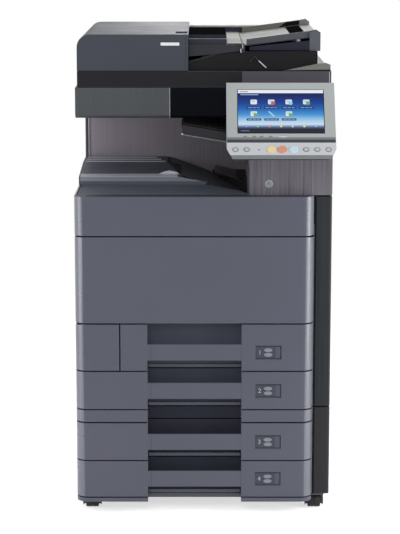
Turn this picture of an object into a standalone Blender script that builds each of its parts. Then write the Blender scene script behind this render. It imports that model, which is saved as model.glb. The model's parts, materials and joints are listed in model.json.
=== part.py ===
"""Floor-standing A3 copier on castors: four paper cassettes, an engine with a front cover, an
in-body exit tray, a flatbed scanner, a hinged document feeder and a tilting control panel.

Metres, +Z up. +X is the right-hand side seen from the front, and -Y is the front. The origin is
the centre of the footprint, on the floor. Every piece is one closed solid, and a piece that moves
has its origin on its joint's axis.
"""

import math

import bmesh
import bpy
from mathutils import Matrix, Vector

# ---------------------------------------------------------------- driving dimensions
WIDTH = 0.602  # over the side covers
DEPTH = 0.665  # cassette fronts to rear cover
TOUCH = 0.0003  # gap between two pieces that are screwed or rest together
SEAM = 0.003  # visible gap between two outer covers
WALL = 0.003  # moulded cover wall
SHEET = 0.002  # frame sheet steel

# Heights of the horizontal seams above the floor, each written as the height of its own storey.
SKIRT_BOTTOM = 0.030
SKIRT_HEIGHT = 0.011
SKIRT_DEPTH = 0.044
CASSETTE_HEIGHTS = {4: 0.0904, 3: 0.0928, 2: 0.0929, 1: 0.1139}  # 4 is the lowest
BAND_HEIGHT = 0.0316  # blind strip between the feeder base and the engine
FRONT_COVER_HEIGHT = 0.2074
TOP_COVER_HEIGHT = 0.093
EXIT_HEIGHT = 0.173  # from the top cover to the underside of the scanner
SCANNER_HEIGHT = 0.072
FEEDER_BASE_HEIGHT = 0.039
FEEDER_HEIGHT = 0.0846

# Cassette fronts and the covers in line with them.
RIGHT_COVER_THICKNESS = 0.0397
FRONT_DEPTH = 0.045  # how far the hollow fronts reach back
CORNER_RADIUS = 0.028
RECESS_LEFT = -0.1315  # the grip recess, the same on every front
RECESS_RIGHT = 0.0902
RECESS_DEPTH = 0.038
GRIP_THICKNESS = 0.005
GRIP_HEIGHT = 0.0385
GRIP_ABOVE_SEAM = 0.0262
GRIP_SETBACK = 0.0005
WASTE_DOOR_WIDTH = 0.105
LABEL_GAP = 0.0329  # from the recess to the window for the cassette number
LABEL_WIDTH = 0.0611
LABEL_HEIGHT = 0.0345
LABEL_DEPTH = 0.0015

# Cassette trays.
TRAY_WALL = 0.0025
TRAY_BACK_GAP = 0.0297  # behind a tray, up to the frame's rear plate
TRAY_SIDE_GAP = 0.005
TRAY_TOP_GAP = 0.012
PLATE_THICKNESS = 0.002  # the lift plate
PLATE_HINGE_INSET = 0.10
PLATE_EDGE_GAP = 0.012

# Castors and base.
WHEEL_RADIUS = 0.0165
WHEEL_WIDTH = 0.030
AXLE_RADIUS = 0.0035
AXLE_CLEARANCE = 0.0004
WHEEL_SIDE_GAP = 0.0008
FORK_CHEEK = 0.005
FORK_LENGTH = 0.024
FORK_DROP = 0.010  # lowest point of a fork above the floor
BASE_BOTTOM = 0.0345
BASE_TOP = 0.0385
BASE_INSET = 0.012  # base plate's right edge inside the side covers
CASTOR_INSET_X = 0.034
CASTOR_FRONT = 0.062  # wheel axle behind the front face
CASTOR_REAR = 0.065  # wheel axle before the back face

# Frame.
REAR_SPACE = 0.073  # from the frame's rear plate to the back face
TONER_SHELF = 0.1181  # toner shelf above the engine floor
FRAME_TOP_DROP = 0.071  # frame top plate below the top cover

# Exit tray.
SHELF_DEPTH = 0.2077  # how far back the flat shelf of the top cover reaches
PLATFORM_RISE = 0.020  # the platform's front edge above the shelf
PLATFORM_SLOPE_RISE = 0.014  # and how much higher its level part lies
PLATFORM_LEVEL = 0.380  # where it turns level, behind the front face
RAMP_LENGTH = 0.1586  # top of the ramp, left of the column
RAMP_SLOPE = 0.36
LEDGE_LENGTH = 0.1086
POCKET_STEP = 0.022  # the pocket's front edge, left of the column: at its middle and its far end
POCKET_WIDTH = 0.0926
REAR_HOUSING = 0.165  # from the rear wall of the exit space to the back face
COLUMN_WIDTH = 0.1924
COLUMN_SETBACK = 0.030
SIDE_END = 0.062  # from the rear end of the side covers to the back face
SLOT_FRONT = 0.100  # sheet slot in the column's inner wall
SLOT_END = 0.080  # from the slot to the rear wall
SLOT_RISE = 0.036
SLOT_HEIGHT = 0.012
REAR_WALL_GAP = 0.013  # between the left cover's rear edge and the machine's back
SEPARATOR_FRONT = 0.130
SEPARATOR_END = 0.050  # from the separator tray to the rear wall
SEPARATOR_FALL = 0.0265
SEPARATOR_THICKNESS = 0.024
SEPARATOR_DROP = 0.0185  # its upper edge below the scanner

# Scanner and document feeder.
SCANNER_SETBACK = 0.100
SCANNER_EDGE = 0.012  # radius under the scanner's front edge
GLASS_LEFT_INSET = 0.051
GLASS_RIGHT_INSET = 0.061
GLASS_FRONT = 0.220
GLASS_END = 0.135  # from the glass to the back face
GLASS_EDGE_GAP = 0.0003
FEEDER_LEFT_INSET = 0.005
FEEDER_RIGHT_INSET = 0.001
FEEDER_END = 0.010  # from the feeder to the back face
FEEDER_WIDTH = 0.261  # the feeder's box
FEEDER_RADIUS = 0.030
FEEDER_FLOOR = 0.005
FEEDER_LIP = 0.015  # what is left of the cover's right wall over the mouth
PICKUP_LENGTH = 0.090  # the pick-up housing on the cover, over the deck
PICKUP_FRONT = 0.060
PICKUP_WIDTH = 0.290
PICKUP_DROP = 0.0036  # its top below the feeder's top
DECK_DROP = 0.0241  # top of the feed deck below the feeder's top
DECK_THICKNESS = 0.0065
DECK_INSIDE = 0.023  # how far the deck reaches into the box
DECK_LENGTH = 0.1265  # and how far it stands out of it
DECK_SETBACK = 0.012
REAR_RAIL_DEPTH = 0.045
REAR_RAIL_DROP = 0.0116  # below the feeder's top
REAR_RAIL_INSET = 0.056  # from its end to the right-hand side
ROLLER_RADIUS = 0.009
ROLLER_LENGTH = 0.160
ROLLER_INSIDE = 0.030  # roller axis left of the box's right end
ROLLER_GAP = 0.0015  # between the roller and the deck
SHAFT_RADIUS = 0.003
OUTPUT_TRAY_DROP = 0.0163  # below the top of the deck
OUTPUT_TRAY_INSET = 0.033
OUTPUT_TRAY_BEND = 0.035  # where the output tray bends, from the box
OUTPUT_TRAY_CREST = 0.110
OUTPUT_SETBACK = 0.012
INPUT_TRAY_INSET = 0.026
INPUT_TRAY_BLOCK = 0.025  # thickness of the block at its right end
INPUT_TRAY_SLOPE = 0.125
INPUT_TRAY_SETBACK = 0.025
INPUT_TRAY_RIM = 0.015
PIN_RADIUS = 0.0032
RAIL_HEIGHT = 0.0257
RAIL_WIDTH = 0.010
CARRIAGE_WIDTH = 0.060
CARRIAGE_HEIGHT = 0.034

# Control panel: its section starts at the top edge and runs down the display, then the key strip.
PANEL_WIDTH = 0.248
PANEL_TOP_SETBACK = 0.020
PANEL_TOP_ABOVE_SCANNER = 0.018
DISPLAY_SLOPE = math.radians(36)  # from the vertical
DISPLAY_LENGTH = 0.158
STRIP_SLOPE = math.radians(46)
STRIP_LENGTH = 0.036
PANEL_THICKNESS = 0.026
SCREEN_INSET = 0.0245
SCREEN_TOP = 0.018
SCREEN_LENGTH = 0.116
SCREEN_DEPTH = 0.002
KEY_CLEARANCE = 0.0004
KEY_PROUD = 0.0012
KEY_LENGTH = 0.006
KEY_HOLE_DEPTH = 0.008
KEY_DOWN = 0.020  # key centres below the display's lower edge
SMALL_KEY_RADIUS = 0.0052
BIG_KEY_RADIUS = 0.0105
# Distance of each key's centre from the panel's left edge, and its radius.
KEYS = {
    "key_home": (0.0195, SMALL_KEY_RADIUS),
    "key_status": (0.0450, SMALL_KEY_RADIUS),
    "key_reset": (0.1007, BIG_KEY_RADIUS),
    "key_stop": (0.1251, BIG_KEY_RADIUS),
    "key_start": (0.1518, BIG_KEY_RADIUS),
    "key_interrupt": (0.1794, SMALL_KEY_RADIUS),
    "key_counter": (0.2047, SMALL_KEY_RADIUS),
    "key_sleep": (0.2300, SMALL_KEY_RADIUS),
}
HINGE_RADIUS = 0.006
HINGE_DOWN = 0.115  # panel hinge below the display's top edge
HINGE_BACK = 0.018
HINGE_START = 0.087  # from the panel's left edge
HINGE_LENGTH = 0.080
RIB = 0.0097  # panel ribs that hold the hinge barrel

# Power key on the column.
POWER_KEY_INSET = 0.0441  # from the column's left face
POWER_KEY_RISE = 0.027
POWER_KEY_RADIUS = 0.006

# Bypass tray in the right-hand cover.
BYPASS_FRONT = 0.140
BYPASS_END = 0.103  # from the tray to the cover's rear end
BYPASS_RISE = 0.075  # above the seam between the two right-hand covers
BYPASS_HEIGHT = 0.310
BYPASS_DEPTH = 0.0150
BYPASS_GAP = 0.0006

# Inside the engine. Each inset is measured from the frame's outer face on that side.
LASER_HEIGHT = 0.042
LASER_INSETS = (0.0477, 0.041)
LASER_SPAN = (0.090, 0.072)  # behind the front face, before the rear plate
BELT_HEIGHT = 0.060
BELT_RADIUS = 0.028
BELT_INSETS = (0.0477, 0.031)
BELT_SPAN = (0.070, 0.092)
BOTTLE_INSETS = (0.0627, 0.030)
BOTTLE_GAP = 0.022
BOTTLE_SPAN = (0.055, 0.112)
BOTTLE_HEADROOM = 0.031
BOTTLE_RADIUS = 0.035
BOTTLE_FOOT_RADIUS = 0.010
FUSER_HEIGHT = 0.090
FUSER_INSETS = (0.0114, 0.051)  # inside the column
FUSER_SPAN = (0.060, 0.040)  # behind the front face, before the rear wall
FUSER_RADIUS = 0.020

# ---------------------------------------------------------------- places that follow from them
LEFT = -WIDTH / 2
RIGHT = WIDTH / 2
FRONTS_RIGHT = RIGHT - RIGHT_COVER_THICKNESS - SHEET - 2 * TOUCH - 0.0001
COLUMN_LEFT = RIGHT - COLUMN_WIDTH
RAMP_START = COLUMN_LEFT - RAMP_LENGTH
LEDGE_START = COLUMN_LEFT - LEDGE_LENGTH
LABEL_LEFT = RECESS_RIGHT + LABEL_GAP
PANEL_RIGHT = RIGHT
PANEL_LEFT = PANEL_RIGHT - PANEL_WIDTH
HINGE_LEFT = PANEL_LEFT + HINGE_START
HINGE_RIGHT = HINGE_LEFT + HINGE_LENGTH
POWER_KEY_X = COLUMN_LEFT + POWER_KEY_INSET
GLASS_LEFT = LEFT + GLASS_LEFT_INSET
GLASS_RIGHT = RIGHT - GLASS_RIGHT_INSET
FEEDER_RIGHT = LEFT + FEEDER_LEFT_INSET + FEEDER_WIDTH
FRAME_DEPTH = DEPTH - REAR_SPACE
WALL_SETBACK = DEPTH - REAR_HOUSING
SIDE_BACK = DEPTH - SIDE_END
GLASS_BACK = DEPTH - GLASS_END
down_display = Vector((0, -math.sin(DISPLAY_SLOPE), -math.cos(DISPLAY_SLOPE)))
down_strip = Vector((0, -math.sin(STRIP_SLOPE), -math.cos(STRIP_SLOPE)))
PANEL_REACH = DISPLAY_LENGTH * -down_display.y + STRIP_LENGTH * -down_strip.y - PANEL_TOP_SETBACK
FRONT = (PANEL_REACH - DEPTH) / 2  # world Y of the cassette fronts

Z_SKIRT = SKIRT_BOTTOM + SKIRT_HEIGHT
Z_BAND = Z_SKIRT + CASSETTE_HEIGHTS[4] + CASSETTE_HEIGHTS[3]
Z_ENGINE_BASE = Z_BAND + BAND_HEIGHT
CASSETTE_SEAMS = {
    4: Z_SKIRT,
    3: Z_SKIRT + CASSETTE_HEIGHTS[4],
    2: Z_ENGINE_BASE,
    1: Z_ENGINE_BASE + CASSETTE_HEIGHTS[2],
}
Z_FRONT_COVER = CASSETTE_SEAMS[1] + CASSETTE_HEIGHTS[1]
Z_TOP_COVER = Z_FRONT_COVER + FRONT_COVER_HEIGHT
Z_SHELF = Z_TOP_COVER + TOP_COVER_HEIGHT
Z_SCANNER = Z_SHELF + EXIT_HEIGHT
Z_PLATEN = Z_SCANNER + SCANNER_HEIGHT
Z_FEEDER = Z_PLATEN + FEEDER_BASE_HEIGHT
Z_TOP = Z_FEEDER + FEEDER_HEIGHT
Z_FRAME_TOP = Z_SHELF - FRAME_TOP_DROP
Z_PLATFORM = Z_SHELF + PLATFORM_RISE
Z_LEVEL = Z_PLATFORM + PLATFORM_SLOPE_RISE
FRAME_LEFT = LEFT + WALL + TOUCH
FRAME_RIGHT = RIGHT - RIGHT_COVER_THICKNESS - TOUCH
FRAME_FRONT = FRONT_DEPTH + TOUCH
FLOOR_RISE = 0.0044  # a cassette bay's floor above its seam
TRAY_LENGTH = FRAME_DEPTH - SHEET - FRAME_FRONT - TRAY_BACK_GAP
DECK_TOP = Z_TOP - DECK_DROP
OUTPUT_TRAY_TOP = DECK_TOP - OUTPUT_TRAY_DROP


def at(setback):
    """World Y of a point that far behind the cassette fronts."""
    return FRONT + setback


# ---------------------------------------------------------------- shapes
def rounded(points, steps=5):
    """A closed outline. Each point is (u, v) or (u, v, radius), and a radius becomes an arc."""
    outline = []
    count = len(points)
    for i, point in enumerate(points):
        corner = Vector(point[:2])
        radius = point[2] if len(point) > 2 else 0
        if not radius:
            outline.append(corner)
            continue
        before = (Vector(points[i - 1][:2]) - corner).normalized()
        after = (Vector(points[(i + 1) % count][:2]) - corner).normalized()
        half = before.angle(after) / 2
        centre = corner + (before + after).normalized() * radius / math.sin(half)
        start = corner + before * radius / math.tan(half) - centre
        end = corner + after * radius / math.tan(half) - centre
        turn = start.angle_signed(end)
        for k in range(steps + 1):
            outline.append(centre + Matrix.Rotation(-turn * k / steps, 2) @ start)
    return outline


def prism(outline, axis, low, high):
    """A flat outline carried along an axis. The outline is in (Y, Z) for X, (X, Z) for Y, (X, Y) for Z."""
    lift = {"X": lambda u, v, w: (w, u, v), "Y": lambda u, v, w: (u, w, v), "Z": lambda u, v, w: (u, v, w)}
    place = lift[axis]
    bm = bmesh.new()
    bottom = [bm.verts.new(place(u, v, low)) for u, v in outline]
    top = [bm.verts.new(place(u, v, high)) for u, v in outline]
    bm.faces.new(bottom)
    bm.faces.new(top)
    for i in range(len(outline)):
        j = (i + 1) % len(outline)
        bm.faces.new((bottom[i], bottom[j], top[j], top[i]))
    bmesh.ops.recalc_face_normals(bm, faces=bm.faces)
    return bm


def block(x0, x1, y0, y1, z0, z1):
    """A box between two corners."""
    return prism([(x0, y0), (x1, y0), (x1, y1), (x0, y1)], "Z", z0, z1)


def tilted_block(start, along, x0, x1, s0, s1, t0, t1):
    """A box on a sloping plane: s runs down the plane from start, and t stands out of it."""
    out = Vector((0, along.z, -along.y))
    corners = [(s0, t0), (s1, t0), (s1, t1), (s0, t1)]
    outline = [start + along * s + out * t for s, t in corners]
    return prism([(p.y, p.z) for p in outline], "X", x0, x1)


def rod(centre, direction, radius, length, sides=16):
    """A round bar centred on a point."""
    bm = bmesh.new()
    bmesh.ops.create_cone(
        bm, cap_ends=True, segments=sides, radius1=radius, radius2=radius, depth=length
    )
    turn = Vector(direction).to_track_quat("Z", "Y").to_matrix().to_4x4()
    bmesh.ops.transform(bm, matrix=Matrix.Translation(centre) @ turn, verts=bm.verts)
    return bm


def group(shapes):
    """Several shapes that don't meet, as one mesh, for one cut or one join."""
    whole = bmesh.new()
    for shape in shapes:
        part = bpy.data.meshes.new("part")
        shape.to_mesh(part)
        shape.free()
        whole.from_mesh(part)
        bpy.data.meshes.remove(part)
    return whole


def place_object(name, shape, origin=(0, 0, 0)):
    """Links a shape as an object whose origin is at the given point."""
    mesh = bpy.data.meshes.new(name)
    bmesh.ops.translate(shape, vec=-Vector(origin), verts=shape.verts)
    shape.to_mesh(mesh)
    shape.free()
    made = bpy.data.objects.new(name, mesh)
    made.location = origin
    bpy.context.scene.collection.objects.link(made)
    return made


def helper(name, shape):
    """A shape that only cuts or joins others."""
    made = place_object(name, shape) if isinstance(shape, bmesh.types.BMesh) else shape
    made.hide_render = True
    made.display_type = "WIRE"
    return made


def change(target, operation, shape):
    """Adds one Boolean to an object."""
    modifier = target.modifiers.new(operation.lower(), "BOOLEAN")
    modifier.operation = operation
    modifier.solver = "EXACT"
    modifier.object = helper(f"{target.name}.{operation.lower()}", shape)


def piece(name, material, shape, cuts=(), joins=(), origin=(0, 0, 0)):
    """A named piece: a shape, less its cuts, then with its joins."""
    made = place_object(name, shape, origin)
    made.data.materials.append(material)
    for shape_to_cut in cuts:
        change(made, "DIFFERENCE", shape_to_cut)
    for shape_to_join in joins:
        change(made, "UNION", shape_to_join)
    made.data.shade_smooth()
    made.data.set_sharp_from_angle(angle=math.radians(30))
    return made


def finish(name, colour, roughness, metallic=0.0):
    """A plain Principled material."""
    made = bpy.data.materials.new(name)
    made.use_nodes = True
    shader = made.node_tree.nodes["Principled BSDF"]
    shader.inputs["Base Color"].default_value = (*colour, 1)
    shader.inputs["Roughness"].default_value = roughness
    shader.inputs["Metallic"].default_value = metallic
    return made


# ---------------------------------------------------------------- clear the scene, make the finishes
for old in list(bpy.data.objects):
    bpy.data.objects.remove(old)

SLATE = finish("slate_cover", (0.120, 0.125, 0.160), 0.45)
CHARCOAL = finish("charcoal_cover", (0.035, 0.036, 0.040), 0.5)
BLACK = finish("black_plastic", (0.010, 0.010, 0.012), 0.4)
UMBER = finish("brushed_umber", (0.110, 0.100, 0.110), 0.4)
SILVER = finish("panel_silver", (0.330, 0.340, 0.340), 0.4)
STEEL = finish("frame_steel", (0.550, 0.560, 0.570), 0.4, 1.0)
GLASS = finish("platen_glass", (0.700, 0.780, 0.780), 0.05)
SCREEN = finish("screen_glass", (0.010, 0.030, 0.120), 0.1)
RUBBER = finish("wheel_rubber", (0.020, 0.020, 0.020), 0.8)
WHITE = finish("white_film", (0.800, 0.800, 0.790), 0.6)
AMBER = finish("key_amber", (0.750, 0.520, 0.120), 0.4)
CORAL = finish("key_coral", (0.750, 0.250, 0.140), 0.4)
AQUA = finish("key_aqua", (0.330, 0.640, 0.750), 0.4)
TONERS = {
    "yellow": finish("toner_yellow", (0.700, 0.520, 0.020), 0.5),
    "cyan": finish("toner_cyan", (0.010, 0.280, 0.560), 0.5),
    "magenta": finish("toner_magenta", (0.560, 0.020, 0.180), 0.5),
    "black": finish("toner_black", (0.020, 0.020, 0.020), 0.5),
}


# ---------------------------------------------------------------- castors and base
def castor_places():
    """Name and axle centre of each castor."""
    for end, setback in (("front", CASTOR_FRONT), ("rear", DEPTH - CASTOR_REAR)):
        for side, x in (("left", LEFT + CASTOR_INSET_X), ("right", RIGHT - CASTOR_INSET_X)):
            yield f"{end}_{side}", Vector((x, at(setback), WHEEL_RADIUS))


def fork_shapes():
    """Both cheeks of every fork, which don't meet, and the axles that join them."""
    reach = WHEEL_WIDTH / 2 + WHEEL_SIDE_GAP
    cheeks = []
    axles = []
    for _, axle in castor_places():
        for side in (-1, 1):
            x0, x1 = sorted((axle.x + side * reach, axle.x + side * (reach + FORK_CHEEK)))
            y0 = axle.y - FORK_LENGTH / 2
            cheeks.append(block(x0, x1, y0, y0 + FORK_LENGTH, FORK_DROP, BASE_TOP - SHEET))
        axles.append(rod(axle, (1, 0, 0), AXLE_RADIUS, 2 * reach + FORK_CHEEK, 12))
    return group(cheeks), group(axles)


def make_base():
    """The base plate with the front skirt and the castor forks."""
    cheeks, axles = fork_shapes()
    plate = block(FRAME_LEFT, RIGHT - BASE_INSET, at(RECESS_DEPTH + SHEET), at(DEPTH - WALL) - TOUCH,
                  BASE_BOTTOM, BASE_TOP)
    skirt = prism(front_outline(LEFT, FRONTS_RIGHT, True, SKIRT_DEPTH), "Z", SKIRT_BOTTOM, Z_SKIRT - SEAM / 2)
    piece("base_frame", STEEL, plate, joins=(skirt, cheeks, axles))


def make_wheels():
    for name, axle in castor_places():
        tyre = rod(axle, (1, 0, 0), WHEEL_RADIUS, WHEEL_WIDTH, 28)
        bore = rod(axle, (1, 0, 0), AXLE_RADIUS + AXLE_CLEARANCE, 2 * WHEEL_WIDTH, 16)
        piece(f"castor_wheel_{name}", RUBBER, tyre, cuts=(bore,), origin=axle)


# ---------------------------------------------------------------- frame
def make_frame():
    """Side plates, rear plate and shelves as one riveted sheet-steel frame."""
    floors = [CASSETTE_SEAMS[n] + FLOOR_RISE for n in (4, 3, 2, 1)]
    ceilings = [CASSETTE_SEAMS[3] + FLOOR_RISE - SHEET, Z_BAND + SHEET, CASSETTE_SEAMS[1] + FLOOR_RISE - SHEET,
                Z_FRONT_COVER + SHEET]
    bays = list(zip(floors, ceilings))
    bays.append((Z_BAND + 2 * SHEET, Z_ENGINE_BASE + FLOOR_RISE - SHEET))
    bays.append((Z_FRONT_COVER + 2 * SHEET, Z_FRONT_COVER + TONER_SHELF - SHEET))
    bays.append((Z_FRONT_COVER + TONER_SHELF, Z_FRAME_TOP - SHEET))
    inside = [
        block(FRAME_LEFT + SHEET, FRAME_RIGHT - SHEET, at(0), at(FRAME_DEPTH - SHEET), low, high)
        for low, high in bays
    ]
    under = block(FRAME_LEFT + SHEET, FRAME_RIGHT - SHEET, at(FRAME_FRONT + SHEET), at(FRAME_DEPTH - SHEET),
                  0, floors[0] - SHEET)
    body = block(FRAME_LEFT, FRAME_RIGHT, at(FRAME_FRONT), at(FRAME_DEPTH), BASE_TOP + TOUCH, Z_FRAME_TOP)
    piece("main_frame", STEEL, body, cuts=(group(inside), under))


# ---------------------------------------------------------------- fronts
def front_outline(x0, x1, recess, depth, round_left=True, round_right=True):
    """Plan of a front: rounded outer corners and, if asked, the grip recess."""
    corner_left = (x0, at(0), CORNER_RADIUS) if round_left else (x0, at(0))
    corner_right = (x1, at(0), CORNER_RADIUS) if round_right else (x1, at(0))
    points = [(x0, at(depth)), corner_left]
    if recess:
        points += [(RECESS_LEFT, at(0)), (RECESS_LEFT, at(RECESS_DEPTH))]
        points += [(RECESS_RIGHT, at(RECESS_DEPTH)), (RECESS_RIGHT, at(0))]
    points += [corner_right, (x1, at(depth))]
    return rounded(points)


def front_hollow(x0, x1, z0, z1, round_left, round_right):
    """The space inside a front, open at the back."""
    inner = CORNER_RADIUS - WALL
    points = [
        (x0 + WALL, at(FRONT_DEPTH + WALL)),
        (x0 + WALL, at(WALL), inner if round_left else 0),
        (x1 - WALL, at(WALL), inner if round_right else 0),
        (x1 - WALL, at(FRONT_DEPTH + WALL)),
    ]
    return prism(rounded(points), "Z", z0 + WALL, z1 - WALL)


def make_plain_front(name, material, x0, x1, seam_low, seam_high, origin, round_right=True):
    """A hollow cover hinged at its lower outer edge; its top falls back to swing clear."""
    z0 = seam_low + SEAM / 2
    z1 = seam_high - SEAM / 2
    height = z1 - z0
    fall = height - math.sqrt(height**2 - FRONT_DEPTH**2)
    body = prism(front_outline(x0, x1, False, FRONT_DEPTH, True, round_right), "Z", z0, z1)
    hollow = front_hollow(x0, x1, z0, z1 - fall, True, round_right)
    back = FRONT_DEPTH + WALL
    slope = prism([(at(SHEET), z1), (at(back), z1 - fall * back / FRONT_DEPTH), (at(back), z1 + WALL),
                   (at(SHEET), z1 + WALL)], "X", x0 - WALL, x1 + WALL)
    piece(name, material, body, cuts=(hollow, slope), origin=origin)


def make_cassette_front(number):
    """A cassette front with its grip bar across the recess and the window for its number."""
    x0 = LEFT + WASTE_DOOR_WIDTH + SEAM / 2 if number == 1 else LEFT
    seam = CASSETTE_SEAMS[number]
    z0 = seam + SEAM / 2
    z1 = seam + CASSETTE_HEIGHTS[number] - SEAM / 2
    round_left = number != 1
    body = prism(front_outline(x0, FRONTS_RIGHT, True, FRONT_DEPTH, round_left), "Z", z0, z1)
    hollows = group([
        front_hollow(x0, RECESS_LEFT, z0, z1, round_left, False),
        front_hollow(RECESS_RIGHT, FRONTS_RIGHT, z0, z1, False, True),
    ])
    grip_z = seam + GRIP_ABOVE_SEAM
    window = block(LABEL_LEFT, LABEL_LEFT + LABEL_WIDTH, at(-WALL), at(LABEL_DEPTH),
                   grip_z + (GRIP_HEIGHT - LABEL_HEIGHT) / 2, grip_z + (GRIP_HEIGHT + LABEL_HEIGHT) / 2)
    bar = block(RECESS_LEFT - WALL / 2, RECESS_RIGHT + WALL / 2, at(GRIP_SETBACK), at(GRIP_SETBACK + GRIP_THICKNESS),
                grip_z, grip_z + GRIP_HEIGHT)
    piece(f"cassette_{number}_front", SLATE, body, cuts=(hollows, window), joins=(bar,))


def make_band():
    """The blind strip between the feeder base and the engine, with the same recess."""
    z0 = Z_BAND + SEAM / 2
    z1 = Z_ENGINE_BASE - SEAM / 2
    body = prism(front_outline(LEFT, FRONTS_RIGHT, True, FRONT_DEPTH), "Z", z0, z1)
    hollows = group([
        front_hollow(LEFT, RECESS_LEFT, z0, z1, True, False),
        front_hollow(RECESS_RIGHT, FRONTS_RIGHT, z0, z1, False, True),
    ])
    piece("engine_band", SLATE, body, cuts=(hollows,))


def tray_box(number):
    """Outer corners of a cassette's tray: x0, x1, y0, y1, z0, z1."""
    x0 = FRAME_LEFT + SHEET + TRAY_SIDE_GAP
    if number == 1:
        x0 = LEFT + WASTE_DOOR_WIDTH + TRAY_SIDE_GAP
    x1 = FRAME_RIGHT - SHEET - TRAY_SIDE_GAP
    z0 = CASSETTE_SEAMS[number] + FLOOR_RISE + TOUCH
    z1 = CASSETTE_SEAMS[number] + CASSETTE_HEIGHTS[number] - TRAY_TOP_GAP
    return x0, x1, at(FRAME_FRONT), at(FRAME_FRONT + TRAY_LENGTH), z0, z1


def make_cassette_tray(number):
    """The paper tray behind a front, and the hinged plate that lifts the stack."""
    x0, x1, y0, y1, z0, z1 = tray_box(number)
    well = block(x0 + TRAY_WALL, x1 - TRAY_WALL, y0 + TRAY_WALL, y1 - TRAY_WALL, z0 + TRAY_WALL, z1 + TRAY_WALL)
    piece(f"cassette_{number}_tray", CHARCOAL, block(x0, x1, y0, y1, z0, z1), cuts=(well,))
    hinge_x = x0 + PLATE_HINGE_INSET
    plate_z = z0 + TRAY_WALL + TOUCH
    plate = block(hinge_x, x1 - TRAY_WALL - PLATE_EDGE_GAP, y0 + TRAY_WALL + PLATE_EDGE_GAP,
                  y1 - TRAY_WALL - PLATE_EDGE_GAP, plate_z, plate_z + PLATE_THICKNESS)
    middle = (y0 + y1) / 2
    piece(f"cassette_{number}_lift_plate", STEEL, plate, origin=(hinge_x, middle, plate_z + PLATE_THICKNESS / 2))


def make_top_cover():
    """The band over the front cover, with the flat shelf in front of the exit tray."""
    z0 = Z_TOP_COVER + SEAM / 2
    body = prism(front_outline(LEFT, FRONTS_RIGHT, False, FRONT_DEPTH), "Z", z0, Z_SHELF)
    hollow = front_hollow(LEFT, FRONTS_RIGHT, z0, Z_SHELF, True, True)
    front = at(FRONT_DEPTH - WALL)
    outline = [(FRAME_LEFT, front), (COLUMN_LEFT - TOUCH, front), *pocket_edge(), (FRAME_LEFT, at(SHELF_DEPTH))]
    shelf = prism(outline, "Z", Z_SHELF - WALL, Z_SHELF)
    piece("top_front_cover", SLATE, body, cuts=(hollow,), joins=(shelf,))


def pocket_edge():
    """Front edge of the exit pocket, right to left: it swings forward towards the column."""
    return [
        (COLUMN_LEFT - TOUCH, at(FRONT_DEPTH + WALL)),
        (COLUMN_LEFT - POCKET_STEP, at(SHELF_DEPTH / 2)),
        (COLUMN_LEFT - POCKET_WIDTH, at(SHELF_DEPTH)),
    ]


# ---------------------------------------------------------------- exit space
def make_exit_tray():
    """The platform, the ramp that catches the sheets, and the pocket beside the column."""
    front_right, front_mid, front_left = pocket_edge()
    edge = [(x, y + 2 * TOUCH) for x, y in (front_mid, front_left)]
    back = at(WALL_SETBACK) - TOUCH
    right = COLUMN_LEFT - TOUCH
    plan = [(FRAME_LEFT, at(SHELF_DEPTH) + 2 * TOUCH), edge[1], edge[0], (right, front_right[1] + 2 * TOUCH),
            (right, back), (FRAME_LEFT, back)]
    body = prism(plan, "Z", Z_FRAME_TOP + TOUCH, Z_LEVEL)
    far = right + WALL
    over = Z_LEVEL + WALL
    slope = prism([(at(0), Z_PLATFORM), (at(SHELF_DEPTH), Z_PLATFORM), (at(PLATFORM_LEVEL), Z_LEVEL),
                   (at(PLATFORM_LEVEL), over), (at(0), over)], "X", LEFT, far)
    crest = RAMP_START - (over - Z_PLATFORM) / RAMP_SLOPE
    step = prism([(crest, over), (RAMP_START, Z_PLATFORM), (LEDGE_START, Z_SHELF), (far, Z_SHELF), (far, over)],
                 "Y", at(0), back + WALL)
    pocket = exit_pocket(far, back)
    hollow = block(FRAME_LEFT + WALL, RAMP_START - WALL, at(SHELF_DEPTH) + 2 * WALL, back - WALL,
                   Z_FRAME_TOP - WALL, Z_PLATFORM - WALL)
    piece("exit_tray", BLACK, body, cuts=(slope, step, pocket, hollow))


def exit_pocket(far, back):
    """The cut above the ramp: its plan is a slanting channel and its floor is the ramp."""
    plan = [(RAMP_START, at(SHELF_DEPTH)), (COLUMN_LEFT - POCKET_WIDTH, at(0)), (far, at(0)),
            (far, back - 0.18), (RAMP_START + 0.075, back), (RAMP_START, back)]
    bm = bmesh.new()
    top = [bm.verts.new((x, y, Z_LEVEL + WALL)) for x, y in plan]
    floor = [bm.verts.new((x, y, Z_PLATFORM - (x - RAMP_START) * RAMP_SLOPE)) for x, y in plan]
    bm.faces.new(top)
    bm.faces.new(floor)
    for i in range(len(plan)):
        j = (i + 1) % len(plan)
        bm.faces.new((floor[i], floor[j], top[j], top[i]))
    bmesh.ops.recalc_face_normals(bm, faces=bm.faces)
    return bm


def make_back_wall():
    """The wall behind the exit space, up to the scanner."""
    low = Z_FRAME_TOP + TOUCH
    high = Z_SCANNER - TOUCH
    right = RIGHT - WALL - TOUCH
    outline = [(FRAME_LEFT, low), (FRAME_RIGHT, low), (FRAME_RIGHT, Z_SHELF + TOUCH), (right, Z_SHELF + TOUCH),
               (right, high), (FRAME_LEFT, high)]
    piece("inner_back_panel", UMBER, prism(outline, "Y", at(WALL_SETBACK), at(WALL_SETBACK + WALL)))


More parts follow.
